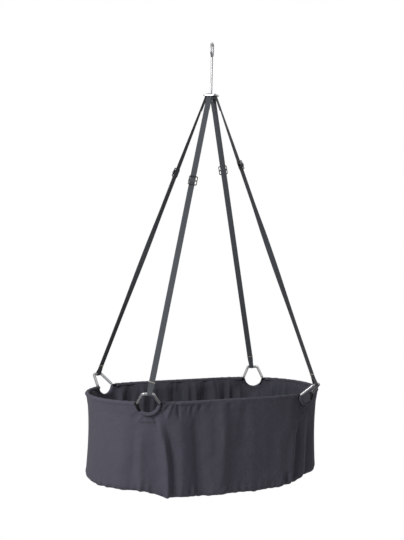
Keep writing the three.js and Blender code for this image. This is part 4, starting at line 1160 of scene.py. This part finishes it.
class CRADLE_OT_webbing(bpy.types.Operator):
    """Four lengths of webbing, each looped through the plate and round its bail, with sewn ends"""

    bl_idname = "cradle.webbing"
    bl_label = "Webbing"

    def execute(self, context):
        sizes = context.scene.cradle_fittings
        for name, corner in CORNERS.items():
            strap = Strap(corner, sizes)
            self.run(name, strap, sizes)
            self.tail(name, strap, sizes)
            self.sewing(name, strap, sizes)
        return {"FINISHED"}

    def run(self, name, strap, sizes):
        """Sewn loop on the plate, main run and loop round the bail."""
        web, step, keeper = sizes.web_width, strap.step, strap.corner.keeper
        stations = [(strap.under_plate(sizes.sewn * part, -2 * step), strap.upper, web) for part in (1, 0.35)]
        bridge = strap.azimuth * BRIDGE + UP * sizes.plate_height
        under = sizes.plate_thickness / 2 + PLATE_GAP
        stations.append((bridge - strap.azimuth * strap.wrap - UP * under, strap.bar, web))
        over = sizes.plate_thickness / 2 + CLEAR / 2
        for angle in np.linspace(math.pi, 0, 13):
            round_bridge = strap.azimuth * math.cos(angle) + UP * math.sin(angle)
            stations.append((bridge + UP * over + round_bridge * strap.wrap, strap.bar, web))
        stations.append((strap.top, strap.bar, web))
        stations += [(strap.under_plate(sizes.sewn * part), strap.upper, web) for part in (0.2, 0.35)]
        top, low = strap.length - sizes.sewn, strap.slider + sizes.slider
        for share in np.linspace(0, 1, 13):
            width = strap.upper * (1 - share) + strap.width * share
            stations.append((strap.at(top + (low - top) * share, -step), width, web))
        stations += [strap.twisted(height, -step) for height in np.linspace(low - 0.01, keeper, 60)]
        radius = sizes.bar + CLEAR + sizes.web_thickness / 2
        up = square_to(strap.bail, strap.along)
        loop_out = np.cross(up, strap.bail)
        for angle in np.linspace(math.pi, 2 * math.pi, 17):
            place = strap.apex + (loop_out * math.cos(angle) + up * math.sin(angle)) * radius
            stations.append((place, strap.bail, BAIL_SPAN))
        stations.append((strap.at(keeper * 0.7, step), strap.width, web * 0.97))
        piece = tape(f"webbing_{name}", stations, 0.0016, sizes.web_thickness)
        finished(piece, "Slate webbing", node=f"strap_{name}")
        start, end = strap.under_plate(sizes.sewn * 1.3), strap.at(0.08)
        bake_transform(piece)

    def tail(self, name, strap, sizes):
        """Second layer up to the slider, with a hump over its middle bar."""
        step, reach, over = strap.step, sizes.slider * 0.36, sizes.slider * 0.3
        crest = strap.stand + 0.0062 + sizes.web_thickness / 2
        heights = np.linspace(strap.corner.keeper * 0.7, strap.slider - reach, 90)
        stations = [strap.twisted(height, step) for height in heights]
        for distance in np.linspace(-reach, reach, 33)[1:]:
            rise = ramp(over - abs(distance), 0, over - 0.0025)
            place = strap.at(strap.slider + distance, step + (crest - step) * rise)
            stations.append((place, strap.width, sizes.web_width))
        piece = tape(f"webbing_tail_{name}", stations, 0.0018, sizes.web_thickness)
        finished(piece, "Slate webbing", node=f"strap_{name}")
        start, end = strap.at(strap.slider - 0.02), strap.at(0.19)
        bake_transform(piece)

    def sewing(self, name, strap, sizes):
        """Box of stitches through the sewn loop's end, on both faces."""
        top, low, half = sizes.sewn * 0.5, sizes.sewn * 0.95, sizes.web_width * 0.38
        face = sizes.web_thickness / 2 + 0.0001
        lines = []
        for offset in (face, -2 * strap.step - face):
            places = [(top, -half), (low, -half), (low, half), (top, half)]
            a, b, c, d = (strap.under_plate(down, offset, side) for down, side in places)
            lines += [[a, b, c, d, a], [a, c], [d, b]]
        piece = stitches(f"webbing_stitches_{name}", lines, pitch=0.0028)
        finished(piece, "Slate thread", "hanger")


class CRADLE_OT_sliders(bpy.types.Operator):
    """Sliders: square frames with rounded corners, two windows and a middle bar"""

    bl_idname = "cradle.sliders"
    bl_label = "Sliders"

    def execute(self, context):
        sizes = context.scene.cradle_fittings
        thick = 0.003
        master = self.frame(sizes, thick)
        for name, corner in CORNERS.items():
            strap = Strap(corner, sizes)
            piece = master.copy()
            piece.data = master.data.copy()
            piece.name = f"slider_frame_{name}"
            context.scene.collection.objects.link(piece)
            shift = math.copysign(corner.shift, corner.centre[0] * strap.width[0])
            place = strap.at(strap.slider, strap.stand + thick / 2) - strap.width * shift
            axes = Matrix((strap.width, strap.along, -strap.out)).transposed().to_4x4()
            settle(piece, Matrix.Translation(place) @ axes)
            smooth(piece, 40)
            finished(piece, "Gunmetal", f"slider_{corner.code}", f"slider_{name}")
        bpy.data.objects.remove(master)
        return {"FINISHED"}

    def frame(self, sizes, thick):
        """The frame lying flat at the origin, its windows cut and its edges rounded."""
        bar, edge = 0.004, 0.003
        body = self.block("slider_frame", (sizes.slider_width, sizes.slider, thick), 0.005, 0)
        high = (sizes.slider - 3 * bar) / 2
        for way in (-1, 1):
            size = sizes.slider_width - 2 * edge, high, 3 * thick
            window = self.block("window", size, 0.002, way * (high + bar) / 2)
            cut = body.modifiers.new("Window", "BOOLEAN")
            cut.object, cut.operation, cut.solver = window, "DIFFERENCE", "EXACT"
            apply_modifiers(body)
            bpy.data.objects.remove(window)
        break_edges(body, 0.0010, 3, 50)
        return body

    def block(self, name, size, corner, height):
        """A flat block with rounded upright edges."""
        clear_selection()
        bpy.ops.mesh.primitive_cube_add(size=1, location=(0, height, 0))
        piece = bpy.context.object
        piece.name = name
        piece.scale = size
        settle(piece)
        bpy.ops.object.mode_set(mode="EDIT")
        bpy.ops.mesh.select_mode(type="EDGE")
        bpy.ops.mesh.select_all(action="DESELECT")
        mesh = bmesh.from_edit_mesh(piece.data)
        for edge in mesh.edges:
            away = edge.verts[0].co - edge.verts[1].co
            edge.select = abs(away.z) > 0.9 * away.length
        bmesh.update_edit_mesh(piece.data)
        bpy.ops.mesh.bevel(offset=corner, segments=6, affect="EDGES")
        bpy.ops.object.mode_set(mode="OBJECT")
        return piece


class CRADLE_OT_keepers(bpy.types.Operator):
    """Keepers: thin wire loops round both layers of webbing"""

    bl_idname = "cradle.keepers"
    bl_label = "Keepers"

    def execute(self, context):
        sizes = context.scene.cradle_fittings
        bend, slack, over, tilt = 0.0013, 0.00096, 0.004, 0.1
        for name, corner in CORNERS.items():
            strap = Strap(corner, sizes)
            half = (sizes.web_width + slack + sizes.wire) / 2 - bend
            deep = (2 * strap.step + sizes.web_thickness + slack + sizes.wire) / 2 - bend
            loop = []
            for x, y, first in ((half, deep, 0), (-half, deep, 90), (-half, -deep, 180), (half, -deep, 270)):
                for angle in np.radians(np.linspace(first, first + 90, 6)):
                    across, outward = x + bend * math.cos(angle), y + bend * math.sin(angle)
                    middle = strap.at(corner.keeper + over + across * tilt, outward)
                    loop.append(middle + strap.width * across)
            piece = bent_bar(f"keeper_wire_{name}", loop, sizes.wire / 2, closed=True, sides=4)
            finished(piece, "Keeper wire", f"keeper_{corner.code}", f"keeper_{name}")
        return {"FINISHED"}


class CRADLE_OT_hanger(bpy.types.Operator):
    """Slotted hanger plate, ball swivel and dome nut"""

    bl_idname = "cradle.hanger"
    bl_label = "Hanger plate and swivel"

    def execute(self, context):
        self.refined("hanger_plate", "hanger", 0.0006, "Polished steel", "polished_steel")
        self.refined("swivel_ball", "swivel", 0.0003, "Polished steel", "polished_steel")
        self.refined("dome_nut", "hook", 0.0005, "Polished steel", "polished_steel")
        self.refined("ball_seat", "tilt_ring", 0.0002, "Black nylon", "black_nylon")
        return {"FINISHED"}

    def refined(self, node, body, edge, finish, slot):
        """The same piece with its sharp edges broken and its round faces smooth."""
        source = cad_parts[node]
        piece = bpy.data.objects.new(f"{node}_finished", source.data.copy())
        bpy.context.scene.collection.objects.link(piece)
        settle(piece, source.matrix_world.copy())
        repair(piece, 1e-6, flatten=True)
        break_edges(piece, edge, 3, 40)
        smooth(piece, 38)
        finished(piece, finish, body, node)


class CRADLE_OT_hook(bpy.types.Operator):
    """Hook rod: shank and closed eye bent from one bar"""

    bl_idname = "cradle.hook"
    bl_label = "Hook rod"

    def execute(self, context):
        rod = context.scene.cradle_fittings.rod
        half, high, lap, bend, shank_end = 0.011, 0.039, 0.016, 0.009, -0.2015
        top, low, nose = rod - half, rod - high, rod * 2 + 0.0006
        shank = [(0, 0, shank_end), (0, 0, low - lap / 2), (-half, 0, low + lap / 2), (-half, 0, top)]
        line = rounded(shank, bend, 10)
        for angle in np.linspace(math.pi, 0, 29)[1:]:
            line.append((half * math.cos(angle), 0, top + half * math.sin(angle)))
        line += rounded([(half, 0, top - lap / 4), (half, 0, low + lap / 2), (nose, 0, low - lap / 4)], bend / 2, 8)
        turn = Matrix.Rotation(math.radians(48), 3, "Z")
        piece = bent_bar("hook_rod_polished", [turn @ Vector(place) for place in line], rod, sides=8)
        break_edges(piece, 0.0008, 3, 60)
        finished(piece, "Polished steel", "hook", "hook_rod")
        return {"FINISHED"}


class CRADLE_OT_finishes(bpy.types.Operator):
    """Materials of the cradle"""

    bl_idname = "cradle.finishes"
    bl_label = "Finishes"

    def execute(self, context):
        colours = context.scene.cradle_colours
        woven_cloth("Slate cover cloth", colours.cover)
        woven_cloth("Slate lining cloth", colours.lining)
        woven_cloth("Slate binding", [c * 1.05 for c in colours.cover], pitch=0.0008)
        woven_cloth("Mattress ticking", colours.ticking, pitch=0.0009)
        ribbed_webbing("Slate webbing", colours.webbing)
        polished_steel("Polished steel", colours.steel)
        polished_steel("Keeper wire", (0.62, 0.56, 0.46), 0.3)
        cast_gunmetal("Gunmetal", colours.gunmetal)
        black_coating("Black coated steel", colours.black)
        plywood("Birch plywood", colours.wood)
        moulded_nylon("Black nylon", (0.02, 0.02, 0.021))
        thread("Slate thread", (0.12, 0.12, 0.14))
        thread("Dark thread", (0.025, 0.025, 0.03))
        return {"FINISHED"}


class CRADLE_OT_stage(bpy.types.Operator):
    """Camera, soft lamps, pale floor and white surroundings"""

    bl_idname = "cradle.stage"
    bl_label = "Stage"

    def execute(self, context):
        scene = context.scene
        self.camera(scene)
        self.lamp(scene, "Window side", (-2.1, -0.95, -0.1), (0, 0, -1.3), 0.9, 47)
        self.lamp(scene, "Far side", (3.6, -0.4, -0.6), (0, 0, -1.2), 1.6, 5.5)
        self.lamp(scene, "Overhead", (0.1, 0.0, 2.2), (0, 0, -1.0), 2.6, 20)
        self.floor()
        self.surroundings(scene)
        scene.view_settings.view_transform = "Standard"
        return {"FINISHED"}

    def camera(self, scene):
        heading, down, roll = math.radians(-25.922), math.radians(90 - 3.043), math.radians(1.237)
        lens = bpy.data.cameras.new("Photo camera")
        lens.lens, lens.sensor_width = 74.4, 36
        camera = bpy.data.objects.new("Photo camera", lens)
        turn = Matrix.Rotation(heading, 4, "Z") @ Matrix.Rotation(down, 4, "X") @ Matrix.Rotation(roll, 4, "Z")
        camera.matrix_world = Matrix.Translation((-1.7608, -3.5793, -0.5875)) @ turn
        scene.collection.objects.link(camera)
        scene.camera = camera

    def lamp(self, scene, name, place, target, size, power):
        light = bpy.data.lights.new(name, "AREA")
        light.shape, light.size, light.energy = "DISK", size, power
        lamp = bpy.data.objects.new(name, light)
        turn = (Vector(target) - Vector(place)).to_track_quat("-Z", "Y").to_matrix().to_4x4()
        lamp.matrix_world = Matrix.Translation(place) @ turn
        scene.collection.objects.link(lamp)

    def floor(self):
        """Floor that keeps a faint shadow under the cradle and is white further out."""
        clear_selection()
        bpy.ops.mesh.primitive_circle_add(vertices=96, radius=14, fill_type="NGON", location=(0, 0, -2.1))
        floor = bpy.context.object
        floor.name = "pale_floor"
        settle(floor)
        finish = Finish("Pale floor", Roughness=0.9, Base_Color=(0.86, 0.86, 0.86, 1))
        flat = finish.place("Object", (1, 1, 0))
        far = finish.add("ShaderNodeVectorMath", {0: flat}, operation="LENGTH").outputs["Value"]
        fade = finish.spread(far, 0.0, 1.0, 0.3, 1.0, interpolation_type="SMOOTHSTEP")
        seen = finish.add("ShaderNodeLightPath").outputs["Is Camera Ray"]
        glow = finish.add("ShaderNodeEmission", {"Color": (1, 1, 1, 1), "Strength": 1.0}).outputs[0]
        share = finish.math("MULTIPLY", finish.math("MULTIPLY_ADD", fade, 0.3, 0.7), seen)
        mixed = finish.mix_shaders(share, finish.shader.outputs[0], glow)
        finish.feed(finish.tree.nodes["Material Output"].inputs["Surface"], mixed)
        floor.data.materials.append(finish.material)

    def surroundings(self, scene):
        """Soft light all round, and plain white where the camera, gloss or glass shows the background."""
        world = bpy.data.worlds.new("White studio")
        scene.world = world
        world.use_nodes = True
        nodes = Nodes(world.node_tree)
        path = nodes.add("ShaderNodeLightPath").outputs
        white = nodes.math("MAXIMUM", path["Is Camera Ray"], path["Is Glossy Ray"])
        white = nodes.math("MAXIMUM", white, path["Is Transmission Ray"])
        soft, back = (
            nodes.add("ShaderNodeBackground", {"Color": (1, 1, 1, 1), "Strength": strength}).outputs[0]
            for strength in (0.15, 1.0)
        )
        nodes.feed(nodes.tree.nodes["World Output"].inputs["Surface"], nodes.mix_shaders(white, soft, back))


OPERATORS = (
    CRADLE_OT_stage,
    CRADLE_OT_finishes,
    CRADLE_OT_cover,
    CRADLE_OT_lining,
    CRADLE_OT_mattress,
    CRADLE_OT_rails,
    CRADLE_OT_brackets,
    CRADLE_OT_webbing,
    CRADLE_OT_sliders,
    CRADLE_OT_keepers,
    CRADLE_OT_hanger,
    CRADLE_OT_hook,
)


class CRADLE_PT_build(bpy.types.Panel):
    """Buttons and sizes of the cradle"""

    bl_idname = "CRADLE_PT_build"
    bl_label = "Hanging cradle"
    bl_space_type = "VIEW_3D"
    bl_region_type = "UI"
    bl_category = "Cradle"

    def draw(self, context):
        for operator in OPERATORS:
            self.layout.operator(operator.bl_idname)
        for group in (context.scene.cradle_basket, context.scene.cradle_fittings, context.scene.cradle_colours):
            box = self.layout.box()
            for name in group.__annotations__:
                box.prop(group, name)


CLASSES = (CradleBasketSizes, CradleFittingSizes, CradleColours, *OPERATORS, CRADLE_PT_build)


def register():
    for item in CLASSES:
        bpy.utils.register_class(item)
    bpy.types.Scene.cradle_basket = bpy.props.PointerProperty(type=CradleBasketSizes)
    bpy.types.Scene.cradle_fittings = bpy.props.PointerProperty(type=CradleFittingSizes)
    bpy.types.Scene.cradle_colours = bpy.props.PointerProperty(type=CradleColours)


def unregister():
    for name in ("cradle_basket", "cradle_fittings", "cradle_colours"):
        delattr(bpy.types.Scene, name)
    for item in reversed(CLASSES):
        bpy.utils.unregister_class(item)


def main():
    register()
    bpy.ops.cradle.stage()
    bpy.ops.cradle.finishes()
    bpy.ops.cradle.cover()
    bpy.ops.cradle.lining()
    bpy.ops.cradle.mattress()
    bpy.ops.cradle.rails()
    bpy.ops.cradle.brackets()
    bpy.ops.cradle.webbing()
    bpy.ops.cradle.sliders()
    bpy.ops.cradle.keepers()
    bpy.ops.cradle.hanger()
    bpy.ops.cradle.hook()


if __name__ == "__main__":
    main()
